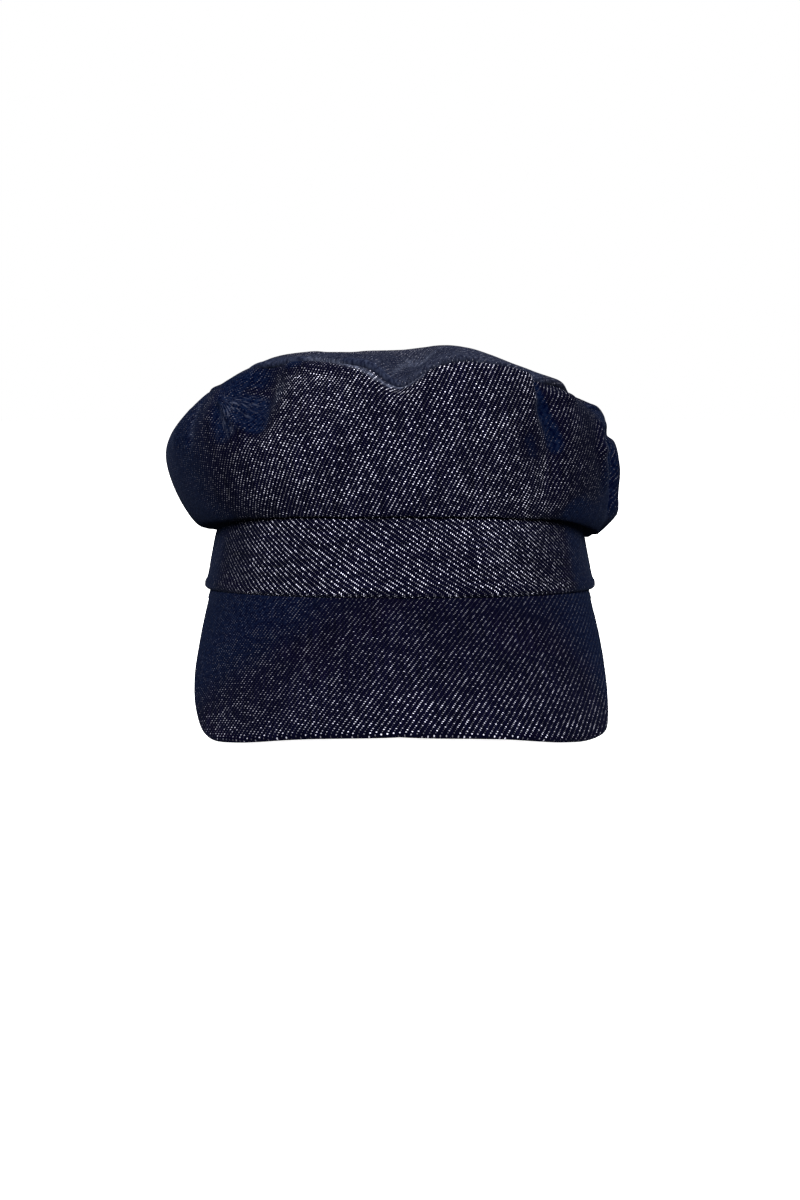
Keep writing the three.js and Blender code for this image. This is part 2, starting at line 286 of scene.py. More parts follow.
# %% The fine creases, only in the cloth shown here
# the same columns as the large folds
FINE_CREASES = {
    "hollow of the dimple": (-35, 3.38, -34, 3.14, 0.3, 0.14, 0),
    "lip above the dimple": (-44, 3.5, -33, 3.66, 0.1, -0.05, 0),
    "groove under the lip": (-43, 3.43, -36, 3.5, 0.08, 0.05, 0),
    "fan, middle ridge": (-45, 3.4, -37, 3.34, 0.08, -0.05, 0),
    "fan, lower groove": (-43.5, 3.34, -38, 3.22, 0.08, 0.05, 0),
    "fan, lower ridge": (-45.5, 3.38, -38, 3.08, 0.09, -0.06, 0),
    "fan, outer groove": (-46, 3.3, -42, 2.95, 0.09, 0.04, 0),
    "knob left of the dimple": (-48, 3.5, -48.5, 3.2, 0.2, -0.04, 0),
    "line at the left side": (-57, 3.55, -55, 2.95, 0.1, 0.1, 0),
    "lobe behind that line": (-64, 3.5, -62, 3.0, 0.22, -0.04, 0),
    "second crest at the left": (-31, 3.9, -18, 3.84, 0.12, -0.035, 0),
    "hollow under that crest": (-28, 3.76, -14, 3.72, 0.12, 0.02, 0),
    "notch in the right edge": (35.5, 4.2, 35.5, 3.75, 0.12, 0.1, 0),
    "groove going down from it": (35.5, 3.75, 36, 3.42, 0.15, 0.08, 0),
    "groove, lower part": (36, 3.42, 39, 3.02, 0.18, 0.07, 0),
    "hollow beside that groove": (30, 3.06, 32, 2.8, 0.22, 0.03, 0),
    "crest of the right lobe": (38, 3.66, 46, 3.74, 0.11, -0.05, 0),
    "valley behind that crest": (39, 3.92, 47, 3.96, 0.12, 0.06, 0),
    "edge of the front lobe, upper": (57, 3.5, 56, 3.1, 0.12, -0.08, 0),
    "edge of the front lobe, lower": (56, 3.1, 60, 2.7, 0.12, -0.07, 0),
    "slot behind that edge": (62.5, 3.4, 62, 2.8, 0.15, 0.17, 0),
    "lobe behind the slot": (70, 3.3, 70, 2.6, 0.2, -0.06, 0),
    "flat shoulder at the left": (-60, 3.95, -49, 4.28, 0.36, 0.15, 0),
    "flat side below it": (-65, 3.5, -60, 3.9, 0.3, 0.06, 0),
    "rise behind it": (-45, 4.9, -38, 5.3, 0.35, 0, -0.05),
    "fall of the right ridge": (21, 4.5, 31, 4.38, 0.3, 0, 0.14),
    "flat shoulder at the right": (51, 4.18, 58, 4.12, 0.27, 0.15, 0),
    "flat side at the right": (74, 3.7, 77, 3.0, 0.3, 0.1, 0),
    "low belly at the right": (66, 2.54, 82, 2.52, 0.2, -0.08, 0),
    "cut corner below it": (70, 2.12, 88, 2.1, 0.2, 0.06, -0.02),
    "foot beside the band": (76, 1.45, 92, 1.5, 0.2, 0, 0.05),
    "mouth of the slot": (86, 3.93, 62, 3.45, 0.12, 0.21, 0),
    "ridge in the dip, start": (-1.5, 4.45, 0.3, 5.12, 0.09, -0.05, 0),
    "ridge in the dip, middle": (0.3, 5.12, 3.5, 5.27, 0.1, -0.05, 0),
    "ridge in the dip, end": (3.5, 5.27, 14, 5.15, 0.11, -0.05, 0),
    "hollow beside that ridge": (1, 4.8, 8, 5.05, 0.14, 0.06, 0),
}
print(len(FINE_CREASES), "fine creases")

# %% [markdown]
# Between the creases the cloth is never quite even. A lattice of random numbers, blended
# smoothly, gives the same gentle waves each time, because its seed is fixed. It is read
# at the places of the cloth, so the waves run on from the wall over the seam to the top.


# %% Gentle waves of the cloth
LATTICE = 32


def smooth_noise(places, size, seed):
    lattice = np.random.default_rng(seed).uniform(-1, 1, (LATTICE,) * 3)
    at = places / size
    cell = np.floor(at).astype(int)
    t = at - cell
    t = t * t * (3 - 2 * t)
    total = np.zeros(places.shape[:-1])
    for corner in np.ndindex(2, 2, 2):
        weight = np.prod(np.where(corner, t, 1 - t), axis=-1)
        x, y, z = np.moveaxis((cell + corner) % LATTICE, -1, 0)
        total += weight * lattice[x, y, z]
    return total


# size of a cell of the lattice and greatest depth, both in millimetres, and the seed
WAVES = [(34, 0.4, 3), (15, 0.3, 8), (6, 0.1, 21)]


def waves(places):
    return sum(smooth_noise(places, size * MM, seed) * depth * MM for size, depth, seed in WAVES)


# %% [markdown]
# ## The seams
# At the shoulder seam the wall and the top each turn in towards the stitching, so a
# narrow valley runs round the crown, and the seam's allowance lifts the top a little
# beside it. Where the crown is sewn into the band, the needle pulls the cloth into faint
# puckers that fade upwards.

# %% Cloth that turns in at a seam
SEAM_ROLL = 0.9 * MM
WELT_HEIGHT = 0.45 * MM
WELT_WIDTH = 1.5 * MM
WELT_PLACE = 1.6 * MM
PUCKER_DEPTH = 0.3 * MM
PUCKER_FADE = 9 * MM
PUCKERS = 74
PUCKER_EVEN = 0.6
PUCKER_DRIFT = 3
# share, waves round the head, start: two slow waves that make the puckers uneven
PUCKER_WANDER = [(0.6, 7, 0), (0.4, 11, 1)]


def roll_in(distance, roll):
    inside = np.clip(1 - distance / roll, 0, 1)
    return roll * (1 - np.sqrt(1 - inside**2))


def welt(distance):
    return WELT_HEIGHT * np.exp(-(((distance - WELT_PLACE) / WELT_WIDTH) ** 2))


def puckers(turn, height):
    angle = np.radians(turn)
    wander = sum(share * np.sin(angle * count + start) for share, count, start in PUCKER_WANDER)
    uneven = PUCKER_EVEN + (1 - PUCKER_EVEN) * wander
    wave = np.sin(angle * PUCKERS + PUCKER_DRIFT * wander) * uneven
    return PUCKER_DEPTH * wave * np.exp(-height / PUCKER_FADE)


# %% [markdown]
# ## Standing on the surface
# The cap tips back about its rim until the peak's lowest point and the back of the band
# are level, and whatever would sink below the surface is pressed flat. The same rule
# placed the solids, so every fine point lands where the coarse one is.


# %% The peak's form
PEAK_DIRECTION = np.array([0, -math.cos(PEAK_SLOPE), -math.sin(PEAK_SLOPE)])
# turn as a share of the span, reach as a share of the full reach
PEAK_OUTLINE = np.array([
    (0.00, 1.00), (0.30, 1.04), (0.55, 1.13), (0.68, 1.16),
    (0.78, 1.11), (0.86, 0.94), (0.94, 0.60), (1.00, 0.10),
])


def peak_face(turn, along):
    root = on_ellipse(BAND_HALF_WIDTH - PEAK_INSET, BAND_HALF_DEPTH - PEAK_INSET, turn, -SEAM_GAP)
    return root + np.asarray(along)[..., None] * PEAK_DIRECTION


def peak_normal(turn):
    across = peak_face(turn + 1, 0) - peak_face(turn - 1, 0)
    square = np.cross(PEAK_DIRECTION, across)
    return square / np.linalg.norm(square, axis=-1, keepdims=True)


def peak_reach(turn):
    return along_table(PEAK_OUTLINE[:, 0], PEAK_OUTLINE[:, 1], np.abs(turn) / PEAK_SPAN) * PEAK_REACH


# %% From the rim's frame to the resting one
BACK_EDGE = np.array([0, BAND_HALF_DEPTH - BAND_WALL / 2, 0])
# as many columns as the 26 steps of the solid peak give, so that both rest at one tilt
RIM_COLUMNS = 27


def closer_at_ends(count):
    """Numbers from -1 to 1 that lie closer together towards both ends."""
    return np.sin(np.linspace(-90, 90, count) * math.pi / 180)


def peak_rim():
    turn = PEAK_SPAN * closer_at_ends(RIM_COLUMNS)
    edge = peak_face(turn, peak_reach(turn))
    return np.concatenate([edge, edge - peak_normal(turn) * PEAK_WALL])


def tipped(places, tilt):
    x, y, z = np.moveaxis(places, -1, 0)
    return np.stack([
        x,
        y * math.cos(tilt) + z * math.sin(tilt),
        z * math.cos(tilt) - y * math.sin(tilt),
    ], axis=-1)


from_back = peak_rim() - BACK_EDGE
REST_TILT = float(np.arctan2(-from_back[:, 2], -from_back[:, 1]).max())
# The frame says where the band's middle and its back ended up; the lowest point is settled.
band_low, band_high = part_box("band")
rim_back = on_ellipse(BAND_HALF_WIDTH, BAND_HALF_DEPTH, np.array(180.0), BAND_ROLL_HEIGHT)
rest_x = (band_low.x + band_high.x) / 2
rest_y = band_high.y - tipped(rim_back, REST_TILT)[1]
rest_z = -tipped(peak_rim(), REST_TILT)[:, 2].min() - SETTLE
REST_SHIFT = np.array([rest_x, rest_y, rest_z])


def at_rest(places):
    moved = tipped(places, REST_TILT) + REST_SHIFT
    moved[..., 2] = np.maximum(moved[..., 2], 0)
    return moved


print(f"tipped back {math.degrees(REST_TILT):.2f} degrees, moved by {np.round(REST_SHIFT * 1000, 2)} mm")

# %% [markdown]
# ## Camera
# The picture was taken from close by, slightly above, straight at the front: the crown's
# top is just in sight and the peak's corners spread. A short lens near the cap gives the
# same perspective. The image is taken to be 800 by 1200 pixels.

# %% Camera at the photograph's place
IMAGE_HEIGHT = 1200
FOCAL_PIXELS = 708
SENSOR = 36.0
CAMERA_HEIGHT = 93.67 * MM
CAMERA_FRONT = -300.68 * MM
CAMERA_DIP = math.radians(14.97)

camera_data = bpy.data.cameras.new("camera")
camera_data.sensor_width = SENSOR
camera_data.lens = SENSOR * FOCAL_PIXELS / IMAGE_HEIGHT
camera_data.clip_start = 0.01
camera = bpy.data.objects.new("camera", camera_data)
bpy.context.scene.collection.objects.link(camera)
camera.location = (rest_x, CAMERA_FRONT, CAMERA_HEIGHT)
look = Vector((0, math.cos(CAMERA_DIP), -math.sin(CAMERA_DIP)))
camera.rotation_euler = look.to_track_quat("-Z", "Y").to_euler()
bpy.context.scene.camera = camera
print(f"lens {camera_data.lens:.1f} mm, {math.degrees(CAMERA_DIP):.0f} degrees down")

# %% [markdown]
# ## The weave
# Denim is a 3/1 twill: each pale weft thread passes under three blue warp threads and
# over one, and from row to row that place shifts by one thread. So the face is dark blue
# with small pale dots in slanting lines. An image would be the usual way to show it; here
# the dots are worked out with Math nodes, from a UV map that is kept in millimetres of
# cloth, so that they have their true size on every piece and bend with the folds.
#
# The first group finds the nearest dot. Rows of weft are PICK apart. In row j the dots
# stand four warp threads apart, shifted by j threads.

# %% Sizes of the weave, in millimetres of cloth
END = 0.408
PICK = 0.596
REPEAT = 4 * END
DOT_ACROSS = 0.165
DOT_ALONG = 0.145
# least and greatest width of a dot, and where it starts and ends to fade, as shares of these
DOT_WIDTHS = (0.75, 1.4)
DOT_FADE = (0.55, 1.2)
# half the width of a slanting line, as a share of the repeat
LINE_HALF = 0.3
# how far a yarn wanders from side to side, and how often it does so in a millimetre
YARN_WANDER = 0.3
YARN_WAVES = 0.22


# %% Short words for nodes
class Wires:
    """Short words for joining nodes in one tree."""

    def __init__(self, tree):
        self.tree = tree

    def node(self, kind, **settings):
        made = self.tree.nodes.new(kind)
        for key, value in settings.items():
            setattr(made, key, value)
        return made

    def feed(self, socket, value):
        if isinstance(value, bpy.types.NodeSocket):
            self.tree.links.new(value, socket)
        else:
            socket.default_value = value

    def math(self, operation, *values):
        made = self.node("ShaderNodeMath", operation=operation)
        for socket, value in zip(made.inputs, values):
            self.feed(socket, value)
        return made.outputs[0]

    def ramp(self, value, from_low, from_high, to_low=0.0, to_high=1.0):
        made = self.node("ShaderNodeMapRange", interpolation_type="SMOOTHSTEP")
        for socket, item in zip(made.inputs, (value, from_low, from_high, to_low, to_high)):
            self.feed(socket, item)
        return made.outputs[0]

    def vector(self, x, y, z=0.0):
        made = self.node("ShaderNodeCombineXYZ")
        for socket, value in zip(made.inputs, (x, y, z)):
            self.feed(socket, value)
        return made.outputs[0]

    def noise(self, vector, scale, detail=2.0):
        made = self.node("ShaderNodeTexNoise", noise_dimensions="3D")
        self.feed(made.inputs["Vector"], vector)
        made.inputs["Scale"].default_value = scale
        made.inputs["Detail"].default_value = detail
        return made.outputs[0]

    def uneven(self, across, along, layer, scale, detail):
        """Noise on the cloth; each layer gives a pattern of its own."""
        return self.noise(self.vector(across, along, layer), scale, detail)

    def attribute(self, name):
        return self.node("ShaderNodeAttribute", attribute_name=name).outputs["Fac"]

    def mix(self, share, low, high):
        made = self.node("ShaderNodeMix", data_type="RGBA")
        self.feed(made.inputs[0], share)
        self.feed(made.inputs[6], low)
        self.feed(made.inputs[7], high)
        return made.outputs[2]


# %% Steps of the weave as nodes
def cloth_place(wires):
    """Place on the cloth across and along the warp, in millimetres, with yarns that wander."""
    uv = wires.node("ShaderNodeUVMap", uv_map="weave").outputs[0]
    split = wires.node("ShaderNodeSeparateXYZ")
    wires.feed(split.inputs[0], uv)
    across, along = split.outputs[0], split.outputs[1]

    def wandering(value, places):
        off = wires.math("SUBTRACT", wires.noise(places, YARN_WAVES), 0.5)
        return wires.math("MULTIPLY_ADD", off, YARN_WANDER, value)

    across = wandering(across, uv)
    along = wandering(along, wires.vector(along, across, z=7.0))
    return across, along


def nearest_dot(wires, across, along):
    """How near the nearest weft dot is, and one fixed random number for it."""
    row = wires.math("ROUND", wires.math("DIVIDE", along, PICK))
    from_row = wires.math("MULTIPLY_ADD", row, -PICK, along)
    shifted = wires.math("MULTIPLY_ADD", row, -END, across)
    column = wires.math("ROUND", wires.math("DIVIDE", shifted, REPEAT))
    from_dot = wires.math("MULTIPLY_ADD", column, -REPEAT, shifted)
    chance = wires.node("ShaderNodeTexWhiteNoise", noise_dimensions="2D")
    wires.feed(chance.inputs["Vector"], wires.vector(column, row))
    width = wires.ramp(chance.outputs[0], 0.0, 1.0, *DOT_WIDTHS)
    x = wires.math("DIVIDE", wires.math("DIVIDE", from_dot, DOT_ACROSS), width)
    y = wires.math("DIVIDE", from_row, DOT_ALONG)
    squares = wires.math("ADD", wires.math("MULTIPLY", x, x), wires.math("MULTIPLY", y, y))
    return wires.ramp(wires.math("SQRT", squares), *DOT_FADE, 1.0, 0.0), chance.outputs[0]


def twill_line(wires, across, along):
    """The slanting line that joins the dots: 1 on the line, 0 between two lines."""
    slant = wires.math("MULTIPLY_ADD", along, -END / PICK, across)
    turns = wires.math("DIVIDE", slant, REPEAT)
    off = wires.math("ABSOLUTE", wires.math("SUBTRACT", turns, wires.math("ROUND", turns)))
    return wires.ramp(off, 0.0, LINE_HALF, 1.0, 0.0)


# %% [markdown]
# ## The denim
# Besides the weave, these make it read as cloth. The warp's indigo varies from thread to
# thread and in soft patches, and the pale dots vary in brightness. Where the cloth turns
# into a fold or round the side, the raised warp hides the dots: the attribute flecks holds
# how much of them shows. It also carries painted shade, dots dimmed in the hollows, the
# slot and under the crown, and painted highlights, dots brightened on crests. The raised
# warp's bluer colour is partly painted sheen. Two more attributes hold painted sheen and
# highlights: one on the top and along the edges of the folds, and fan for the streaks in
# the dimple. A weak, rough sheen in the shader stands for the fuzz of the yarn. The back
# of the cloth shows the weft, so it is paler where back_of_cloth is 1. These numbers
# follow the picture's one view. They lie on the cloth, so nothing slides when the camera
# moves, but seen from the side the places that they dim are dim too.

# %% Denim material
WARP_DARK = (0.0004, 0.0004, 0.0022, 1)
WARP_LIGHT = (0.0013, 0.0012, 0.0062, 1)
# raised warp, bluer partly as painted sheen at the sides and on the top, and dark as painted shade in the
# hollows
RAISED_SHEEN_DARK = (0.0000, 0.0005, 0.0050, 1)
RAISED_SHEEN_LIGHT = (0.0017, 0.0038, 0.0130, 1)
# painted sheen and highlight colour, laid where raised fibres would catch the light
PAINTED_SHEEN_COLOUR = (0.0420, 0.0480, 0.0720, 1)
WEFT = (0.85, 0.85, 1.0, 1)
BACK_OF_CLOTH = (0.12, 0.135, 0.19, 1)
MIDDLE_HALF = (0.25, 0.75)
# a thread keeps its colour for many millimetres, so the noise is stretched along it
THREAD_STRETCH = 0.06
# flecks below which only the raised warp shows, and above which none of it does
RAISED_FADE = (0.06, 0.2)
# how evenly the painted sheen lies, and how much the fuzz varies it
SHEEN_EVEN = 0.3
SHEEN_FUZZ = 0.9
# the fan's painted highlight streaks run straight out from its point, so the distance counts little
FAN_STRETCH = 0.02
# where the noise makes a painted highlight streak, and how much painted sheen a streak gets
FAN_STREAKS = (0.5, 0.68)
FAN_SHEEN = 0.45
# the dimmest dot, what chance adds to it, and how rare bright ones are
DOT_DIM = 0.08
DOT_BRIGHT = 0.95
DOT_RARITY = 2.4
# shares of the height of a ridge of warp
LINE_DEPTH = 0.7
THREAD_HEIGHT = 0.15
DOT_DEPTH = 0.2


# %% Colour of the denim as nodes
def indigo(wires, across, along, patches):
    """Blue of the warp, from thread to thread and in soft patches."""
    stretched = wires.math("MULTIPLY", along, THREAD_STRETCH)
    threads = wires.vector(wires.math("MULTIPLY", across, 1 / END), stretched)
    streaks = wires.ramp(wires.noise(threads, scale=0.9, detail=1.0), *MIDDLE_HALF)
    patchy = wires.ramp(patches, *MIDDLE_HALF, to_low=0.5, to_high=1.0)
    return wires.mix(wires.math("MULTIPLY", streaks, patchy), WARP_DARK, WARP_LIGHT)


def caught_light(wires, fuzz):
    """How much painted sheen and highlight the top, the fold edges and the fan's streaks get."""
    fuzzy = wires.math("MULTIPLY_ADD", fuzz, SHEEN_FUZZ, SHEEN_EVEN)
    painted_sheen = wires.math("MULTIPLY", wires.attribute("painted_sheen"), fuzzy)
    stretched = wires.math("MULTIPLY", wires.attribute("fan_length"), FAN_STRETCH)
    fan = wires.vector(wires.attribute("fan_angle"), stretched)
    streaks = wires.ramp(wires.noise(fan, scale=12.0, detail=1.0), *FAN_STREAKS)
    streaks = wires.math("MULTIPLY", streaks, wires.attribute("fan"))
    return wires.math("MINIMUM", wires.math("MULTIPLY_ADD", streaks, FAN_SHEEN, painted_sheen), 1.0)


def dots_shown(wires, across, along, patches, dot, chance):
    """How bright the weft is: each dot by chance, and all of them in blotches."""
    bright = wires.math("MULTIPLY_ADD", wires.math("POWER", chance, DOT_RARITY), DOT_BRIGHT, DOT_DIM)
    blotch = wires.uneven(across, along, layer=9.0, scale=0.35, detail=3.0)
    blotch = wires.ramp(blotch, 0.3, 0.7, to_low=0.6, to_high=1.1)
    cloud = wires.ramp(patches, 0.3, 0.65, to_low=0.75, to_high=1.1)
    dots = wires.math("MULTIPLY", dot, bright)
    return wires.math("MULTIPLY", dots, wires.math("MULTIPLY", blotch, cloud))


def denim_colour(wires, across, along, dot, chance):
    patches = wires.uneven(across, along, layer=3.0, scale=0.06, detail=3.0)
    fuzz = wires.uneven(across, along, layer=5.0, scale=0.8, detail=4.0)
    fuzz = wires.ramp(fuzz, 0.35, 0.7)
    flecks = wires.attribute("flecks")
    # the raised warp, partly painted sheen and painted shade, takes over where few dots show
    raised = wires.mix(fuzz, RAISED_SHEEN_DARK, RAISED_SHEEN_LIGHT)
    warp = wires.mix(wires.ramp(flecks, *RAISED_FADE), raised, indigo(wires, across, along, patches))
    # painted sheen and highlights lighten the warp here
    warp = wires.mix(caught_light(wires, fuzz), warp, PAINTED_SHEEN_COLOUR)
    shown = dots_shown(wires, across, along, patches, dot, chance)
    face = wires.mix(wires.math("MULTIPLY", shown, flecks), warp, WEFT)
    return wires.mix(wires.attribute("back_of_cloth"), face, BACK_OF_CLOTH)


# %% Height of the cloth, and the finished denim
def denim_height(wires, across, dot, line):
    """Ridges of warp stand between the lines, each with its own threads."""
    thread = wires.math("SINE", wires.math("MULTIPLY", across, 2 * math.pi / END))
    ridge = wires.math("MULTIPLY_ADD", line, -LINE_DEPTH, 1.0)
    height = wires.math("MULTIPLY_ADD", thread, THREAD_HEIGHT, ridge)
    return wires.math("MULTIPLY_ADD", dot, -DOT_DEPTH, height)


def denim():
    material = bpy.data.materials.new("denim")
    material.use_nodes = True
    wires = Wires(material.node_tree)
    shader = material.node_tree.nodes["Principled BSDF"]
    across, along = cloth_place(wires)
    dot, chance = nearest_dot(wires, across, along)
    line = twill_line(wires, across, along)
    wires.feed(shader.inputs["Base Color"], denim_colour(wires, across, along, dot, chance))
    bump = wires.node("ShaderNodeBump")
    bump.inputs["Strength"].default_value = 0.5
    bump.inputs["Distance"].default_value = 0.12 * MM
    wires.feed(bump.inputs["Height"], denim_height(wires, across, dot, line))
    wires.feed(shader.inputs["Normal"], bump.outputs[0])
    shader.inputs["Roughness"].default_value = 0.9
    shader.inputs["Specular IOR Level"].default_value = 0
    shader.inputs["Sheen Weight"].default_value = 0.02
    shader.inputs["Sheen Roughness"].default_value = 0.45
    shader.inputs["Sheen Tint"].default_value = (0.35, 0.45, 0.8, 1)
    return material


DENIM = denim()
print("denim:", len(DENIM.node_tree.nodes), "nodes")

# %% [markdown]
# ## Making a piece of cloth
# Each panel is a grid of points in rows, once for the face and once for the back of the
# cloth, joined at the edges into one closed body. The crown's grids are closed round the
# head, so a UV kept on their points would run backwards across the last face. Every
# corner of every face has its own UV instead, and the weave simply starts again at the
# middle of the back. Each piece prints its volume, which is negative where its faces
# point inwards.


# %% Meshes from grids
def make_mesh(name, places, faces, weave, finish):
    """One piece; finish holds the values per point that the denim reads, by name."""
    mesh = bpy.data.meshes.new(name)
    mesh.from_pydata(places.tolist(), [], faces)
    layer = mesh.uv_layers.new(name="weave")
    layer.data.foreach_set("uv", weave.astype(np.float32).ravel())
    for key, values in finish.items():
        attribute = mesh.attributes.new(key, "FLOAT", "POINT")
        attribute.data.foreach_set("value", values.astype(np.float32))
    mesh.materials.append(DENIM)
    mesh.shade_smooth()
    piece = bpy.data.objects.new(name, mesh)
    bpy.context.scene.collection.objects.link(piece)
    print(name, "volume in cubic centimetres:", round(closed_volume(mesh) * 1e6, 1))
    return piece


def closed_volume(mesh):
    """Positive where the faces of a closed mesh point outwards."""
    solid = bmesh.new()
    solid.from_mesh(mesh)
    volume = solid.calc_volume(signed=True)
    solid.free()
    return volume


def grid_faces(rows, columns, closed):
    """Corner (row, column) pairs of each quad; a closed grid's last column number is the count."""
    steps = np.arange(columns if closed else columns - 1)
    row, column = np.meshgrid(np.arange(rows - 1), steps, indexing="ij")
    row = row.ravel()
    column = column.ravel()
    corners = [(row, column), (row, column + 1), (row + 1, column + 1), (row + 1, column)]
    return np.stack([np.stack(corner, axis=-1) for corner in corners], axis=1)


def finish_piece(piece, node):
    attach(piece, "root")
    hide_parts(node)
    triangles = sum(len(face.vertices) - 2 for face in piece.data.polygons)
    print(f"{piece.name}: {triangles} triangles, replaces {node}")


# %% [markdown]
# ## Crown wall and crown top
# Both panels are the same surface, cut at the shoulder seam. The way round is divided
# more finely at the front, where the folds are, and the rows are spaced along the
# section. The wall's weave follows the cloth's own length: the mean length of its rings
# for the distance across, and the length up each section for the height, turned by the
# few degrees that the panel was cut off grain. The top's weave is laid out from its
# middle. Both are measured before any fold is pressed in, as a flat pattern would be.

# %% Length of the cloth
TURNS = 480
FRONT_DENSITY = 0.4
EVEN_TURNS = np.linspace(-1, 1, TURNS + 1)
TURN_LIST = (EVEN_TURNS - FRONT_DENSITY * np.sin(math.pi * EVEN_TURNS) / math.pi) * FULL_TURN / 2
GRAIN_ACROSS = math.radians(10)
GRAIN_ALONG = math.radians(3.5)


def seam_station(side):
    """The cut edge of the wall (side -1) or of the top (side 1), a hair from the shoulder seam."""
    shoulder = plain_crown(TURN_LIST, SHOULDER)
    beside = plain_crown(TURN_LIST, SHOULDER + side * STATION_STEP)
    reach = np.linalg.norm(beside - shoulder, axis=-1)
    return SHOULDER + side * STATION_STEP * (SEAM_GAP / 2 / reach)


def running_length(places, axis):
    """Length of the cloth from the first point along one axis of a grid."""
    step = np.linalg.norm(np.diff(places, axis=axis), axis=-1)
    start = np.zeros_like(np.take(step, [0], axis=axis))
    return np.concatenate([start, np.cumsum(step, axis=axis)], axis=axis)


def wall_weave(places):
    around = running_length(places, 1).mean(axis=0)
    around = (around - around[TURNS // 2]) / MM
    height = running_length(places, 0) / MM
    spread = math.cos(GRAIN_ACROSS - GRAIN_ALONG)
    across = (math.cos(GRAIN_ALONG) * around + math.sin(GRAIN_ALONG) * height) / spread
    along = (math.cos(GRAIN_ACROSS) * height - math.sin(GRAIN_ACROSS) * around) / spread
    return np.stack([across, along], axis=-1)


def top_weave(places):
    middle = np.broadcast_to(APEX_PLACE, (1,) + places.shape[1:])
    from_middle = running_length(np.concatenate([middle, places[::-1]]), 0)[:0:-1] / MM
    angle = np.radians(TURN_LIST)
    return np.stack([from_middle * np.sin(angle), -from_middle * np.cos(angle)], axis=-1)


# %% [markdown]
# ## Where the weft shows, and the painted shade and sheen
# In the picture the pale dots are bright at the front, fade round the sides and nearly
# vanish in the folds, and raised fibres catch the light along the edges and on the top.
# Where the dots are dimmed in hollows and under the crown, that is painted shade; the dots
# brightened on crests and the light along the edges and on the top are painted highlights
# and sheen. Painting this on the mesh by hand would be the usual way. Here it is worked
# out from lines on the cloth, written as the folds are, so that each shade lies on its own
# fold.

# %% How much of the weft shows
# turn, share of the dots' brightness that shows there
CROWN_FLECKS = np.array([
    (-180, 0.6), (-140, 0.52), (-110, 0.36), (-90, 0.22), (-75, 0.13), (-66, 0.08), (-56, 0.1),
    (-46, 0.18), (-38, 0.44), (-31, 0.92), (32, 0.92), (40, 0.42), (50, 0.2), (55, 0.18), (58, 0.12),
    (61, 0.07), (75, 0.12), (90, 0.22), (110, 0.36), (140, 0.52), (180, 0.6),
])
BAND_FLECKS = np.array([
    (-180, 0.6), (-140, 0.52), (-110, 0.36), (-90, 0.24), (-75, 0.14), (-66, 0.08), (-58, 0.1),
    (-52, 0.18), (-46, 0.32), (-38, 0.8), (-31, 1.1), (31, 1.1), (36, 0.75), (41, 0.4), (47, 0.22),
    (52, 0.08), (66, 0.08), (75, 0.14), (90, 0.24), (110, 0.36), (140, 0.52), (180, 0.6),
])
# least share on the band's rolled edge, raised there as a painted highlight where the edge turns towards
# the light at the right
BAND_EDGE_FLECKS = np.array([(30, 0), (35, 0.9), (46, 0.8), (49, 0)])
# from turn, from station, to turn, to station, width in shares of the overhang, share hidden.
# In the dimple, the grooves, the hollow, the slot and under the crown the dimmed dots are
# partly painted shade; a negative share brightens the dots, on the left crest as a painted
# highlight.
DOTS_HIDDEN_AND_SHADED = {
    "dimple": (-37, 3.4, -34.5, 3.2, 0.4, 0.94),
    "fan": (-44, 3.45, -42, 3.05, 0.32, 0.75),
    "shade above the dimple": (-46, 3.75, -30, 3.92, 0.3, 0.75),
    "strip behind the left crest": (-30, 3.92, -13, 3.9, 0.12, 0.7),
    "strip above the edge": (-14, 4.03, -1, 3.98, 0.07, 1.0),
    "left crest": (-27, 3.72, -6, 3.83, 0.07, -0.5),
    "stripes behind the right crest": (41, 4.12, 47, 4.16, 0.14, -3.5),
    "groove, upper": (35.5, 3.85, 36, 3.42, 0.15, 0.95),
    "groove, lower": (36, 3.42, 39, 3.02, 0.26, 0.9),
    "hollow": (31, 3.02, 32, 2.85, 0.26, 0.85),
    "slot": (62, 3.3, 64, 2.7, 0.3, 0.9),
    "underside at the right": (48, 1.9, 95, 2.1, 0.5, 0.85),
    "underside at the left": (-58, 2.0, -95, 2.1, 0.5, 0.7),
}
# share hidden at the front of the top; place from front to back, how much of that share
TOP_HIDDEN = 0.85
TOP_FRONT = np.array([(-66 * MM, 1), (-42 * MM, 0)])
# share of the way from the seam to the middle of the top in which the dots come back
TOP_EDGE = 0.25
# share shown at the crown's foot, dimmed there as painted shade under the lobe, and the height at which
# all shows again
FOOT_SHOWN = 0.7
FOOT_HEIGHT = 7 * MM


def shares_along(plain, lines, power):
    """For each line its last value, and how much of it each place gets."""
    for from_turn, from_station, to_turn, to_station, width, value in lines.values():
        start = plain_crown(from_turn, from_station)
        end = plain_crown(to_turn, to_station)
        distance = distance_to_line(plain, start, end)
        yield value, np.exp(-((distance / (width * CROWN_OVERHANG)) ** power))


def crown_flecks(turn, plain, on_top):
    shown = np.interp(plain[..., 2] - BAND_HEIGHT, (0, FOOT_HEIGHT), (FOOT_SHOWN, 1))
    round_the_head = np.interp(turn, *CROWN_FLECKS.T)
    if on_top:
        reach = np.linalg.norm((plain - APEX_PLACE)[..., :2], axis=-1)
        from_edge = np.clip((1 - reach / reach[0]) / TOP_EDGE, 0, 1)
        round_the_head = round_the_head + (1 - round_the_head) * from_edge
    shown = shown * round_the_head
    # dims the dots along the listed lines, partly as painted shade, and brightens them where the share is
    # negative
    for hidden, share in shares_along(plain, DOTS_HIDDEN_AND_SHADED, power=4):
        shown *= 1 - hidden * share
    if on_top:
        shown *= 1 - TOP_HIDDEN * np.interp(plain[..., 1], *TOP_FRONT.T)
    return shown


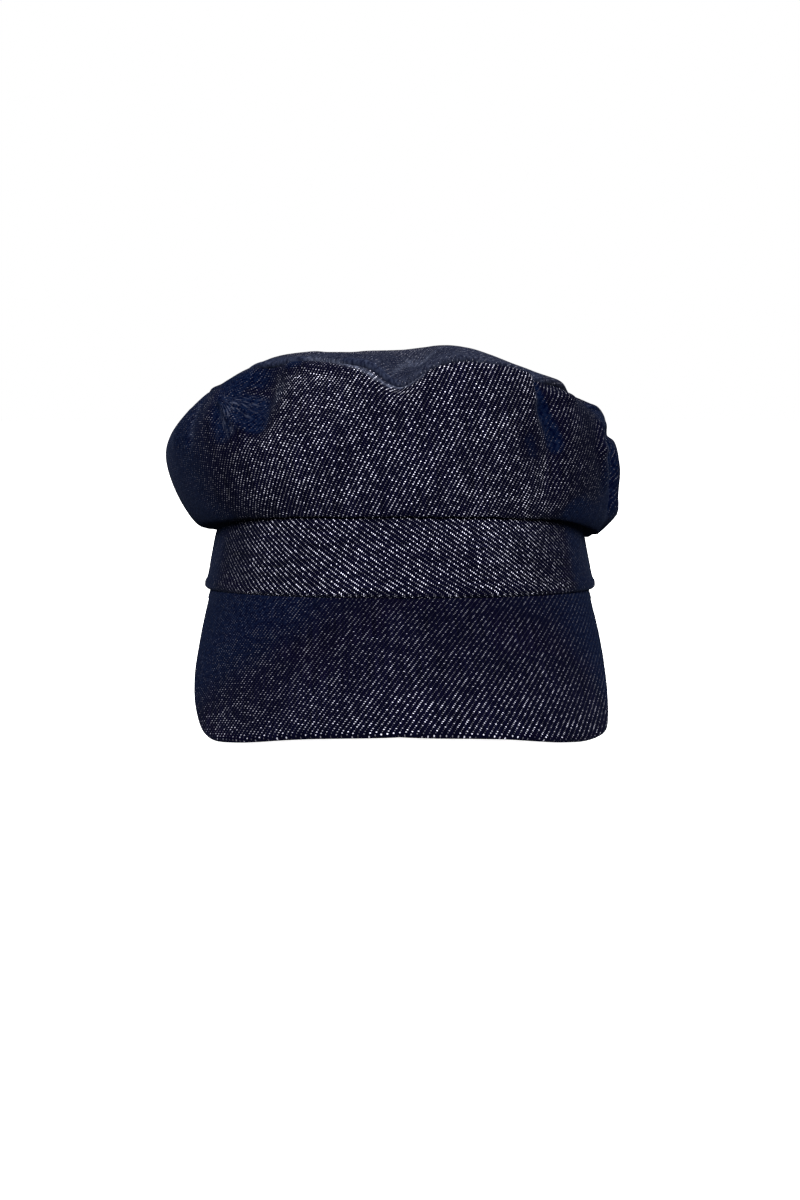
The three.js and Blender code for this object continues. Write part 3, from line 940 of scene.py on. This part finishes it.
# %% Painted sheen and highlights, where the nap would catch the light
# painted sheen on the front of the top, and how far round the head it reaches
SHEEN_ON_TOP = 0.27
SHEEN_ROUND = 75
# from turn, from station, to turn, to station, width in shares of the overhang, painted sheen there
SHEEN_ALONG = {
    "edge, far left": (-26, 4.06, -18, 4.0, 0.035, 0.9),
    "edge, left": (-18, 4.0, -12, 3.96, 0.035, 1.0),
    "edge, down to the dip": (-12, 3.96, -6, 3.88, 0.035, 1.0),
    "edge, beside the dip": (-6, 3.88, -2.5, 3.88, 0.04, 0.9),
    "edge, in the dip": (-2.5, 3.93, 5, 3.95, 0.04, 0.8),
    "ridge in the dip, start": (-1.5, 4.45, 0.3, 5.12, 0.06, 0.5),
    "ridge in the dip, middle": (0.3, 5.12, 3.5, 5.27, 0.07, 0.6),
    "ridge in the dip, end": (3.5, 5.27, 14, 5.15, 0.09, 0.65),
    "side line": (-57.5, 3.5, -55.5, 3.0, 0.05, 0.2),
    "right edge, upper": (57.5, 3.4, 56.5, 3.1, 0.045, 0.5),
    "right edge, lower": (56.5, 3.1, 62, 2.7, 0.045, 0.6),
}
# the same columns, and the share of the painted sheen that is taken out there as painted shade
SHEEN_SHADED = {
    "hollow of the dip": (2, 4.65, 10, 4.85, 0.32, 0.85),
    "slope left of the dip": (-13, 4.6, -4, 5.1, 0.4, 0.6),
}


def crown_sheen(turn, plain, on_top):
    towards_front = np.exp(-((turn / SHEEN_ROUND) ** 2)) * np.interp(plain[..., 1], *TOP_FRONT.T)
    painted_sheen = SHEEN_ON_TOP * on_top * towards_front
    for shaded, share in shares_along(plain, SHEEN_SHADED, power=2):
        painted_sheen = painted_sheen * (1 - shaded * share)
    for value, share in shares_along(plain, SHEEN_ALONG, power=2):
        painted_sheen = np.maximum(painted_sheen, value * share)
    return painted_sheen


# %% [markdown]
# Into the dimple run fine streaks of painted highlight, which spread like a fan from one
# point of the cloth, where the ridges of the fold catch the light. They are finer than the
# mesh. So each point only holds its direction and its distance from the fan's point, and
# the denim draws the streaks from these smooth numbers.

# %% The fan of painted highlight streaks
FAN_POINT = (-45.5, 3.41)
# degrees above the way round the head, share shown
FAN_SPREAD = np.array([(-82, 0), (-62, 1), (12, 1), (28, 0)])
# millimetres from the fan's point, share shown
FAN_REACH = np.array([(1.5, 0), (4, 1), (10, 1), (17, 0)])


def fan_streaks(plain):
    turn, station = FAN_POINT
    start = plain_crown(turn, station)
    sideways = plain_crown(turn + 1, station) - start
    upwards = plain_crown(turn, station + STATION_STEP) - start
    rise = (plain - start) @ (upwards / np.linalg.norm(upwards))
    run = (plain - start) @ (sideways / np.linalg.norm(sideways))
    angle = np.arctan2(rise, run)
    length = np.linalg.norm(plain - start, axis=-1) / MM
    shown = np.interp(np.degrees(angle), *FAN_SPREAD.T) * np.interp(length, *FAN_REACH.T)
    return {"fan": shown, "fan_angle": angle, "fan_length": length}


print("the streaks reach", FAN_REACH[-1, 0], "mm from their point")

# %% [markdown]
# A panel's face takes the large folds first, then the fine creases, and last the waves
# and the turn at the seam. Its back lies one thickness of cloth behind, or less in the
# tight turn under the lobe. The wall has two cut edges. The top has one, and its middle is
# closed by a fan of triangles on each side.

# %% A panel of the crown
TOP_LAST_STATION = 6.97
# row number, station: more rows where the folds are
WALL_ROWS = np.array([(0, SEAT), (6, LIP), (18, LOBE), (34, BELLY), (74, SHOULDER)])
TOP_ROWS = np.array([(0, SHOULDER), (26, BROW), (44, CREST), (60, TOP_LAST_STATION)])
# station, share of the wall's thickness: the cloth is thinnest in the tight turn under the lobe
THICKNESS = np.array([(SEAT, 1), (LIP, 0.6), (LOBE, 0.45), (LOBE + 0.5, 0.6), (BELLY, 1)])


def ring_normals(grid):
    """Square to a closed grid of points, from its neighbours."""
    ring = grid[:, :-1]
    across = np.roll(ring, -1, axis=1) - np.roll(ring, 1, axis=1)
    square = np.cross(across, np.gradient(ring, axis=0))
    square /= np.linalg.norm(square, axis=-1, keepdims=True)
    return np.concatenate([square, square[:, :1]], axis=1)


def crown_grid(rows, seam_row, seam_side):
    """Places of the face and the back of a panel whose row seam_row is the shoulder seam."""
    station = np.interp(np.arange(rows[-1, 0] + 1), *rows.T)[:, None] * np.ones(TURNS + 1)
    station[seam_row] = seam_station(seam_side)
    turn = np.broadcast_to(TURN_LIST, station.shape)
    plain = plain_crown(turn, station)
    face = crown_face(turn, station)
    face = folded(face, ring_normals(face), FINE_CREASES)
    length = running_length(face, 0)
    from_seam = np.abs(length - length[seam_row])
    raised = waves(face) - roll_in(from_seam, SEAM_ROLL)
    raised += welt(from_seam) if seam_side > 0 else puckers(turn, length)
    normals = ring_normals(face)
    outer = face + normals * raised[..., None]
    inner = outer - normals * CROWN_WALL * np.interp(station, *THICKNESS.T)[..., None]
    return outer, inner, plain


def shell_parts(outer, inner, has_pole):
    """Corner grids of a ring of cloth: face, back and cut edges, one alone with a pole."""
    rows = len(outer)
    quads = grid_faces(rows, TURNS, closed=True)
    back = quads[:, ::-1].copy()
    back[..., 0] += rows
    edge = grid_faces(2, TURNS, closed=True)
    low = edge.copy()
    low[..., 0] = np.where(edge[..., 0] == 0, rows, 0)
    parts = [quads, back, low]
    if not has_pole:
        high = edge.copy()
        high[..., 0] = np.where(edge[..., 0] == 0, rows - 1, 2 * rows - 1)
        parts.append(high)
    return np.concatenate(parts), np.concatenate([outer, inner])


def crown_panel(name, outer, inner, plain, weave, has_pole):
    corners, grid = shell_parts(outer, inner, has_pole)
    plain = np.concatenate([plain, plain])
    weave = np.concatenate([weave, weave])
    # The paler back starts one row in from each cut edge.
    turned_out = np.zeros(grid.shape[:-1])
    turned_out[len(outer) + 1:] = 1
    if not has_pole:
        turned_out[-1] = 0
    points = grid[:, :-1].reshape(-1, 3)
    faces = (corners[..., 0] * TURNS + corners[..., 1] % TURNS).tolist()
    corner_weave = weave[corners[..., 0], corners[..., 1]].reshape(-1, 2)
    on_grid = {
        "flecks": crown_flecks(TURN_LIST, plain, has_pole),
        "painted_sheen": crown_sheen(TURN_LIST, plain, has_pole),
        "back_of_cloth": turned_out,
        **fan_streaks(plain),
    }
    finish = {key: values[:, :-1].ravel() for key, values in on_grid.items()}
    if has_pole:
        last = len(points) // 2 - 1
        points, faces, corner_weave = with_poles(points, faces, corner_weave, weave, len(outer))
        finish = {key: np.append(values, values[[last, -1]]) for key, values in finish.items()}
    return make_mesh(name, at_rest(points), faces, corner_weave, finish)


def with_poles(points, faces, corner_weave, weave, rows):
    """Closes the top's face and back with a fan each."""
    last_outer = (rows - 1) * TURNS
    last_inner = last_outer + rows * TURNS
    outer_pole = len(points)
    fan_points = [points[start:start + TURNS].mean(axis=0) for start in (last_outer, last_inner)]
    fan_weave = []
    for column in range(TURNS):
        after = (column + 1) % TURNS
        faces.append([last_outer + column, last_outer + after, outer_pole])
        faces.append([last_inner + after, last_inner + column, outer_pole + 1])
        here = weave[rows - 1, column]
        there = weave[rows - 1, column + 1]
        fan_weave += [here, there, (0, 0), there, here, (0, 0)]
    return np.concatenate([points, fan_points]), faces, np.concatenate([corner_weave, fan_weave])


# %% Crown wall
wall = crown_grid(WALL_ROWS, seam_row=-1, seam_side=-1)
crown_wall = crown_panel("crown_wall_cloth", *wall, wall_weave(wall[-1]), has_pole=False)
finish_piece(crown_wall, "crown_wall")

# %% Crown top
top = crown_grid(TOP_ROWS, seam_row=0, seam_side=1)
crown_top = crown_panel("crown_top_cloth", *top, top_weave(top[-1]), has_pole=True)
finish_piece(crown_top, "crown_top")

# %% [markdown]
# ## Band
# The band is a strip with one section all the way round, so its shape follows a rule, and
# Geometry Nodes make it: an ellipse for the path, a closed curve for the section, and
# Curve to Mesh to sweep one along the other. The section has a soft, rolled lower edge
# that stands proud over the peak. The tree also writes down which step of the path and of
# the section each point came from, and the weave is laid out from these numbers. The
# sweep leaves the faces pointing inwards, so they are turned round afterwards. The band
# is cut across the grain, so its lines slant the other way than the crown's.

# %% Section of the band
SECTION_STEPS = 6


def band_section():
    """Inward and up round the wall, from the outer foot of the rolled edge."""
    foot = BAND_WALL / 3
    half_flare = BAND_FLARE / 2
    half_height = BAND_HEIGHT / 2
    corners = [
        (0.1 * foot, foot),
        (0, 0.6 * BAND_ROLL_HEIGHT),
        (0.3 * BAND_ROLL, BAND_ROLL_HEIGHT),
        (BAND_ROLL + half_flare * 0.1, BAND_ROLL_HEIGHT + 2 * BAND_ROLL),
        (half_flare, half_height),
        (BAND_FLARE, BAND_HEIGHT - BAND_SOFT_EDGE),
        (BAND_FLARE + BAND_SOFT_EDGE, BAND_HEIGHT),
        (BAND_FLARE + BAND_WALL, BAND_HEIGHT - BAND_SOFT_EDGE / 3),
        (half_flare + BAND_WALL, half_height),
        (BAND_ROLL + BAND_WALL, BAND_ROLL_HEIGHT),
        (BAND_WALL, foot),
        (BAND_WALL - foot, 0),
        (foot, 0),
    ]
    points = np.array(corners)
    around = [np.roll(points, shift, axis=0)[:, None] for shift in (1, 0, -1, -2)]
    steps = np.linspace(0, 1, SECTION_STEPS, endpoint=False)[None, :, None]
    return catmull_rom(*around, steps).reshape(-1, 2)


def section_curve(points):
    """A closed flat curve; Curve to Mesh takes its X as out and its Y as down."""
    curve = bpy.data.curves.new("band_section", "CURVE")
    spline = curve.splines.new("POLY")
    spline.points.add(len(points) - 1)
    for point, (inward, up) in zip(spline.points, points):
        point.co = (-inward, -up, 0, 1)
    spline.use_cyclic_u = True
    held = bpy.data.objects.new("band_section", curve)
    bpy.context.scene.collection.objects.link(held)
    return held


BAND_SECTION = band_section()
print(len(BAND_SECTION), "points in the band's section")

# %% Node tree that sweeps the band
BAND_INPUTS = {
    "Half Width": "NodeSocketFloat",
    "Half Depth": "NodeSocketFloat",
    "Steps": "NodeSocketInt",
    "Section": "NodeSocketObject",
    "Wave": "NodeSocketFloat",
    "Wave Scale": "NodeSocketFloat",
    "Seed": "NodeSocketFloat",
    "Cloth": "NodeSocketMaterial",
}


def numbered(wires, geometry, name):
    """The same geometry, with each point's number stored under a name."""
    store = wires.node("GeometryNodeStoreNamedAttribute", data_type="FLOAT", domain="POINT")
    wires.feed(store.inputs["Geometry"], geometry)
    wires.feed(store.inputs["Name"], name)
    wires.feed(store.inputs["Value"], wires.node("GeometryNodeInputIndex").outputs[0])
    return store.outputs[0]


def swept_strip(wires, given):
    ring = wires.node("GeometryNodeCurvePrimitiveCircle")
    wires.feed(ring.inputs["Radius"], 1)
    wires.feed(ring.inputs["Resolution"], given["Steps"])
    ellipse = wires.node("GeometryNodeTransform")
    wires.feed(ellipse.inputs["Geometry"], numbered(wires, ring.outputs[0], "path_step"))
    wires.feed(ellipse.inputs["Scale"], wires.vector(given["Half Width"], given["Half Depth"], 1))
    upright = wires.node("GeometryNodeSetCurveNormal", mode="Z_UP")
    wires.feed(upright.inputs[0], ellipse.outputs[0])
    section = wires.node("GeometryNodeObjectInfo")
    wires.feed(section.inputs["Object"], given["Section"])
    profile = numbered(wires, section.outputs["Geometry"], "section_step")
    sweep = wires.node("GeometryNodeCurveToMesh")
    wires.feed(sweep.inputs["Curve"], upright.outputs[0])
    wires.feed(sweep.inputs["Profile Curve"], profile)
    return sweep.outputs[0]


# %% Waves of the band, and its whole tree
def waved(wires, geometry, given):
    """Moves the strip in and out a little, by smooth noise."""
    noise = wires.node("ShaderNodeTexNoise", noise_dimensions="4D")
    wires.feed(noise.inputs["Scale"], given["Wave Scale"])
    wires.feed(noise.inputs["W"], given["Seed"])
    centred = wires.math("SUBTRACT", noise.outputs[0], 0.5)
    direction = wires.node("ShaderNodeVectorMath", operation="NORMALIZE")
    wires.feed(direction.inputs[0], wires.node("GeometryNodeInputPosition").outputs[0])
    offset = wires.node("ShaderNodeVectorMath", operation="SCALE")
    wires.feed(offset.inputs[0], direction.outputs[0])
    wires.feed(offset.inputs["Scale"], wires.math("MULTIPLY", centred, given["Wave"]))
    move = wires.node("GeometryNodeSetPosition")
    wires.feed(move.inputs["Geometry"], geometry)
    wires.feed(move.inputs["Offset"], offset.outputs[0])
    return move.outputs[0]


def band_tree():
    tree = bpy.data.node_groups.new("Band", "GeometryNodeTree")
    for name, kind in BAND_INPUTS.items():
        tree.interface.new_socket(name, in_out="INPUT", socket_type=kind)
    tree.interface.new_socket("Geometry", in_out="OUTPUT", socket_type="NodeSocketGeometry")
    wires = Wires(tree)
    given = wires.node("NodeGroupInput").outputs
    realize = wires.node("GeometryNodeRealizeInstances")
    wires.feed(realize.inputs[0], waved(wires, swept_strip(wires, given), given))
    paint = wires.node("GeometryNodeSetMaterial")
    wires.feed(paint.inputs["Geometry"], realize.outputs[0])
    wires.feed(paint.inputs["Material"], given["Cloth"])
    wires.feed(wires.node("NodeGroupOutput").inputs[0], paint.outputs[0])
    return tree


# %% Evaluate the tree into a plain mesh
def evaluated_mesh(tree, values):
    """The mesh that a tree makes from these values, by input name."""
    carrier = bpy.data.objects.new("carrier", bpy.data.meshes.new("carrier"))
    bpy.context.scene.collection.objects.link(carrier)
    modifier = carrier.modifiers.new("strip", "NODES")
    modifier.node_group = tree
    for item in tree.interface.items_tree:
        if item.in_out == "INPUT":
            modifier[item.identifier] = values[item.name]
    graph = bpy.context.evaluated_depsgraph_get()
    mesh = bpy.data.meshes.new_from_object(carrier.evaluated_get(graph))
    bpy.data.objects.remove(carrier)
    return mesh


def float_attribute(mesh, name):
    attribute = mesh.attributes[name]
    values = np.zeros(len(attribute.data))
    attribute.data.foreach_get("value", values)
    return values


section_object = section_curve(BAND_SECTION)
band_mesh = evaluated_mesh(band_tree(), {
    "Half Width": BAND_HALF_WIDTH,
    "Half Depth": BAND_HALF_DEPTH,
    "Steps": TURNS,
    "Section": section_object,
    "Wave": 0.8 * MM,
    "Wave Scale": 38.0,
    "Seed": 4.0,
    "Cloth": DENIM,
})
bpy.data.objects.remove(section_object)
print("band swept:", len(band_mesh.vertices), "points")

# %% Lay the weave on the band and set it down
# numbers of the section's corners between which the rolled edge and the inside lie
EDGE_CORNERS = (1, 2.5)
INSIDE_CORNERS = (7, 11)


def unwrapped(steps, count):
    """Step numbers of each quad's corners, without the jump where the loop closes."""
    return np.where(steps.max(axis=1, keepdims=True) - steps > count / 2, steps + count, steps)


def band_weave(path_step, section_step):
    """Warp runs round the head, so the weave's first number counts downwards."""
    middle = (BAND_HALF_WIDTH - BAND_FLARE / 2, BAND_HALF_DEPTH - BAND_FLARE / 2)
    ring = on_ellipse(*middle, np.linspace(0, FULL_TURN, TURNS + 1), 0)
    around = running_length(ring, 0) / MM
    loop = np.concatenate([BAND_SECTION, BAND_SECTION[:1]])
    height = running_length(loop, 0) / MM
    round_the_head = np.interp(path_step, np.arange(TURNS + 1), around)
    up_the_wall = np.interp(section_step, np.arange(len(loop)), height)
    return np.stack([-up_the_wall, round_the_head], axis=-1)


def between(numbers, limits):
    return (numbers > limits[0]) & (numbers < limits[1])


def finished_band(mesh):
    points = np.zeros(len(mesh.vertices) * 3)
    mesh.vertices.foreach_get("co", points)
    corner_points = np.zeros(len(mesh.loops), int)
    mesh.loops.foreach_get("vertex_index", corner_points)
    # The sweep leaves the faces pointing inwards, so each one's corners are read backwards.
    corners = corner_points.reshape(-1, 4)[:, ::-1]
    # The path starts at +X; the weave starts at the back, a quarter turn further on.
    from_back = (float_attribute(mesh, "path_step") - TURNS / 4) % TURNS
    section = float_attribute(mesh, "section_step")
    weave = band_weave(
        unwrapped(from_back[corners], TURNS), unwrapped(section[corners], len(BAND_SECTION)),
    )
    turn = (from_back / TURNS - 0.5) * FULL_TURN
    corner = section / SECTION_STEPS
    # the rolled edge at the right gets brighter dots as a painted highlight
    on_edge = between(corner, EDGE_CORNERS) * np.interp(turn, *BAND_EDGE_FLECKS.T)
    flecks = np.maximum(np.interp(turn, *BAND_FLECKS.T), on_edge)
    inside = between(corner, INSIDE_CORNERS) * 1.0
    finish = {"flecks": flecks, "painted_sheen": 0 * flecks, "back_of_cloth": inside}
    places = at_rest(points.reshape(-1, 3))
    return make_mesh("band_cloth", places, corners.tolist(), weave.reshape(-1, 2), finish)


band = finished_band(band_mesh)
bpy.data.meshes.remove(band_mesh)
finish_piece(band, "band")

# %% [markdown]
# ## Peak
# The peak is a board covered with the same denim. It is bent in one direction only, so it
# is the band's outline carried forward along its slope, and its cloth lies flat on it
# without stretch. A plane that is bent by a modifier would need its outline found by
# trial; here the outline is a short table. Towards the free edge the wall thins in a
# quarter circle, which rounds the rim.

# %% Peak
PEAK_COLUMNS = 181
PEAK_ROWS = 64
PEAK_GRAIN = math.radians(4.5)
PEAK_SEWN_IN = 0.7 * MM
# share of the way to the side, share of the dots' brightness that shows there; the shares
# are kept low partly as painted shade, for the peak gets less light than the crown's front
PEAK_FLECKS = np.array([
    (-1, 0.05), (-0.85, 0.06), (-0.6, 0.08), (-0.4, 0.1), (-0.2, 0.14),
    (0, 0.16), (0.6, 0.14), (0.78, 0.09), (0.9, 0.05), (1, 0.05),
])
# how many times brighter the dots are at the free edge, and how close to it that stays
PEAK_EDGE_FLECKS = 6.0
PEAK_EDGE_POWER = 4
# The right corner is a little fuller than the left one.
PEAK_LEAN = 0.05
PEAK_LEAN_PLACE = 0.8
PEAK_LEAN_WIDTH = 0.08
PEAK_ARCH = 1.3 * MM
PEAK_ARCH_HALF = 30
# share of the cloth's waves that the stiff board lets through
BOARD_WAVES = 0.5
# points on each step of the rim, and the rim's least thickness as a share of the wall's
RIM_STEPS = 6
THINNEST_RIM = 0.02


def quarter_round(distance, radius):
    """Half the thickness near the free edge, which never comes to nothing."""
    inside = np.clip(distance / radius, 0, 1)
    return radius * np.sqrt(np.clip(1 - (1 - inside) ** 2, THINNEST_RIM**2, 1))


def developed(face, reach):
    """Cloth coordinates on the peak: sideways square to the slope, and down the slope."""
    root = face[:, 0]
    step = np.diff(root, axis=0)
    step = step - (step @ PEAK_DIRECTION)[:, None] * PEAK_DIRECTION
    side = np.concatenate([[0], np.cumsum(np.linalg.norm(step, axis=-1))])
    side -= side[len(side) // 2]
    down = face @ PEAK_DIRECTION
    return np.broadcast_to(side[:, None], down.shape), down


def distance_to_rim(side, down):
    """Shortest way on the cloth from each point to the free edge."""
    rim = np.stack([side[:, -1], down[:, -1]], axis=-1)
    steps = np.linspace(0, 1, RIM_STEPS, endpoint=False)[:, None]
    fine = np.concatenate([a + (b - a) * steps for a, b in zip(rim, rim[1:])])
    away = np.stack([side, down], axis=-1)[:, :, None] - fine
    return np.sqrt((away**2).sum(axis=-1).min(axis=-1))


def peak_cloth():
    turn = PEAK_SPAN * closer_at_ends(PEAK_COLUMNS)
    share = np.sin(np.linspace(0, 90, PEAK_ROWS) * math.pi / 180)
    to_corner = (np.abs(turn) / PEAK_SPAN - PEAK_LEAN_PLACE) / PEAK_LEAN_WIDTH
    reach = peak_reach(turn) * (1 + PEAK_LEAN * np.sign(turn) * np.exp(-(to_corner**2)))
    along = -PEAK_SEWN_IN + (reach[:, None] + PEAK_SEWN_IN) * share
    face = peak_face(turn[:, None], along)
    normals = np.broadcast_to(peak_normal(turn)[:, None], face.shape)
    side, down = developed(face, along)
    rim = distance_to_rim(side, down)
    half = quarter_round(rim, PEAK_WALL / 2)[..., None]
    arch = PEAK_ARCH * np.exp(-((turn / PEAK_ARCH_HALF) ** 2))[:, None] * share**2
    raised = waves(face) * BOARD_WAVES + arch
    middle = face - normals * PEAK_WALL / 2 + normals * raised[..., None]
    outer = middle + normals * half
    under = middle - normals * half
    under[..., 2] = np.minimum(under[..., 2], outer[:, :1, 2])
    return outer, under, side / MM, down / MM


# %% The peak's flecks and faces
def peak_flecks(side, down):
    shown = np.interp(side / side.max(), *PEAK_FLECKS.T)
    low = np.clip((down - down.min()) / (down.max() - down.min()), 0, 1)
    return shown * (1 + (PEAK_EDGE_FLECKS - 1) * low**PEAK_EDGE_POWER)


def peak_piece():
    outer, under, side, down = peak_cloth()
    corners = grid_faces(PEAK_COLUMNS, PEAK_ROWS, closed=False)
    index = corners[..., 0] * PEAK_ROWS + corners[..., 1]
    count = PEAK_COLUMNS * PEAK_ROWS
    grid = np.arange(count).reshape(PEAK_COLUMNS, PEAK_ROWS)
    border = np.concatenate([grid[:-1, 0], grid[-1, :-1], grid[:0:-1, -1], grid[0, :0:-1]])
    after = np.roll(border, -1)
    rim = np.stack([border, after, after + count, border + count], axis=-1)
    faces = np.concatenate([index, index[:, ::-1] + count, rim[:, ::-1]])
    across = math.cos(PEAK_GRAIN) * side - math.sin(PEAK_GRAIN) * down
    along = -math.cos(PEAK_GRAIN) * down - math.sin(PEAK_GRAIN) * side
    weave = np.stack([across, along], axis=-1).reshape(-1, 2)
    weave = np.concatenate([weave, weave])[faces].reshape(-1, 2)
    points = np.concatenate([outer.reshape(-1, 3), under.reshape(-1, 3)])
    flecks = np.tile(peak_flecks(side, down).ravel(), 2)
    finish = {"flecks": flecks, "painted_sheen": 0 * flecks, "back_of_cloth": 0 * flecks}
    return make_mesh("peak_cloth", at_rest(points), faces.tolist(), weave, finish)


peak = peak_piece()
finish_piece(peak, "peak")

# %% [markdown]
# ## Floor and light
# The picture has a plain white ground and soft light from the front. A white floor alone
# would come out grey, so this one also glows; it is hidden from diffuse rays, or else it
# would light the cap from below. The sky is seen white, but it lights the cap at less than
# a third of that. A large lamp above and before the cap brightens the front, a weaker one
# above and behind it the top, and the sides are left to the sky.

# %% Floor, lamps and sky
FLOOR_HALF = 6.0
LAMP_AIM = Vector((0, 0, 0.05))


def pale_floor():
    signs = [(-1, -1), (1, -1), (1, 1), (-1, 1)]
    corners = [(x * FLOOR_HALF, y * FLOOR_HALF, 0) for x, y in signs]
    mesh = bpy.data.meshes.new("floor")
    mesh.from_pydata(corners, [], [(0, 1, 2, 3)])
    material = bpy.data.materials.new("floor")
    material.use_nodes = True
    shader = material.node_tree.nodes["Principled BSDF"]
    shader.inputs["Base Color"].default_value = (0.9, 0.9, 0.9, 1)
    shader.inputs["Roughness"].default_value = 1
    shader.inputs["Specular IOR Level"].default_value = 0
    shader.inputs["Emission Color"].default_value = (1, 1, 1, 1)
    shader.inputs["Emission Strength"].default_value = 0.88
    mesh.materials.append(material)
    floor = bpy.data.objects.new("floor", mesh)
    floor.visible_diffuse = False
    bpy.context.scene.collection.objects.link(floor)


def soft_lamp(name, place, size, watts):
    data = bpy.data.lights.new(name, "AREA")
    data.shape = "DISK"
    data.size = size
    data.energy = watts
    lamp = bpy.data.objects.new(name, data)
    bpy.context.scene.collection.objects.link(lamp)
    lamp.location = place
    lamp.rotation_euler = (LAMP_AIM - Vector(place)).to_track_quat("-Z", "Y").to_euler()
    lamp.visible_camera = False


def white_sky(seen, lit):
    """A sky that is seen at one strength and lights the cap at another."""
    world = bpy.data.worlds.new("sky")
    bpy.context.scene.world = world
    world.use_nodes = True
    wires = Wires(world.node_tree)
    background = world.node_tree.nodes["Background"]
    background.inputs["Color"].default_value = (1, 1, 1, 1)
    is_seen = wires.node("ShaderNodeLightPath").outputs["Is Camera Ray"]
    wires.feed(background.inputs["Strength"], wires.math("MULTIPLY_ADD", is_seen, seen - lit, lit))


pale_floor()
soft_lamp("front lamp", (0, -1.3, 1.0), size=1.0, watts=80)
soft_lamp("top lamp", (0, 0.6, 1.3), size=0.8, watts=16)
white_sky(seen=1.0, lit=0.3)
bpy.context.scene.view_settings.view_transform = "Standard"
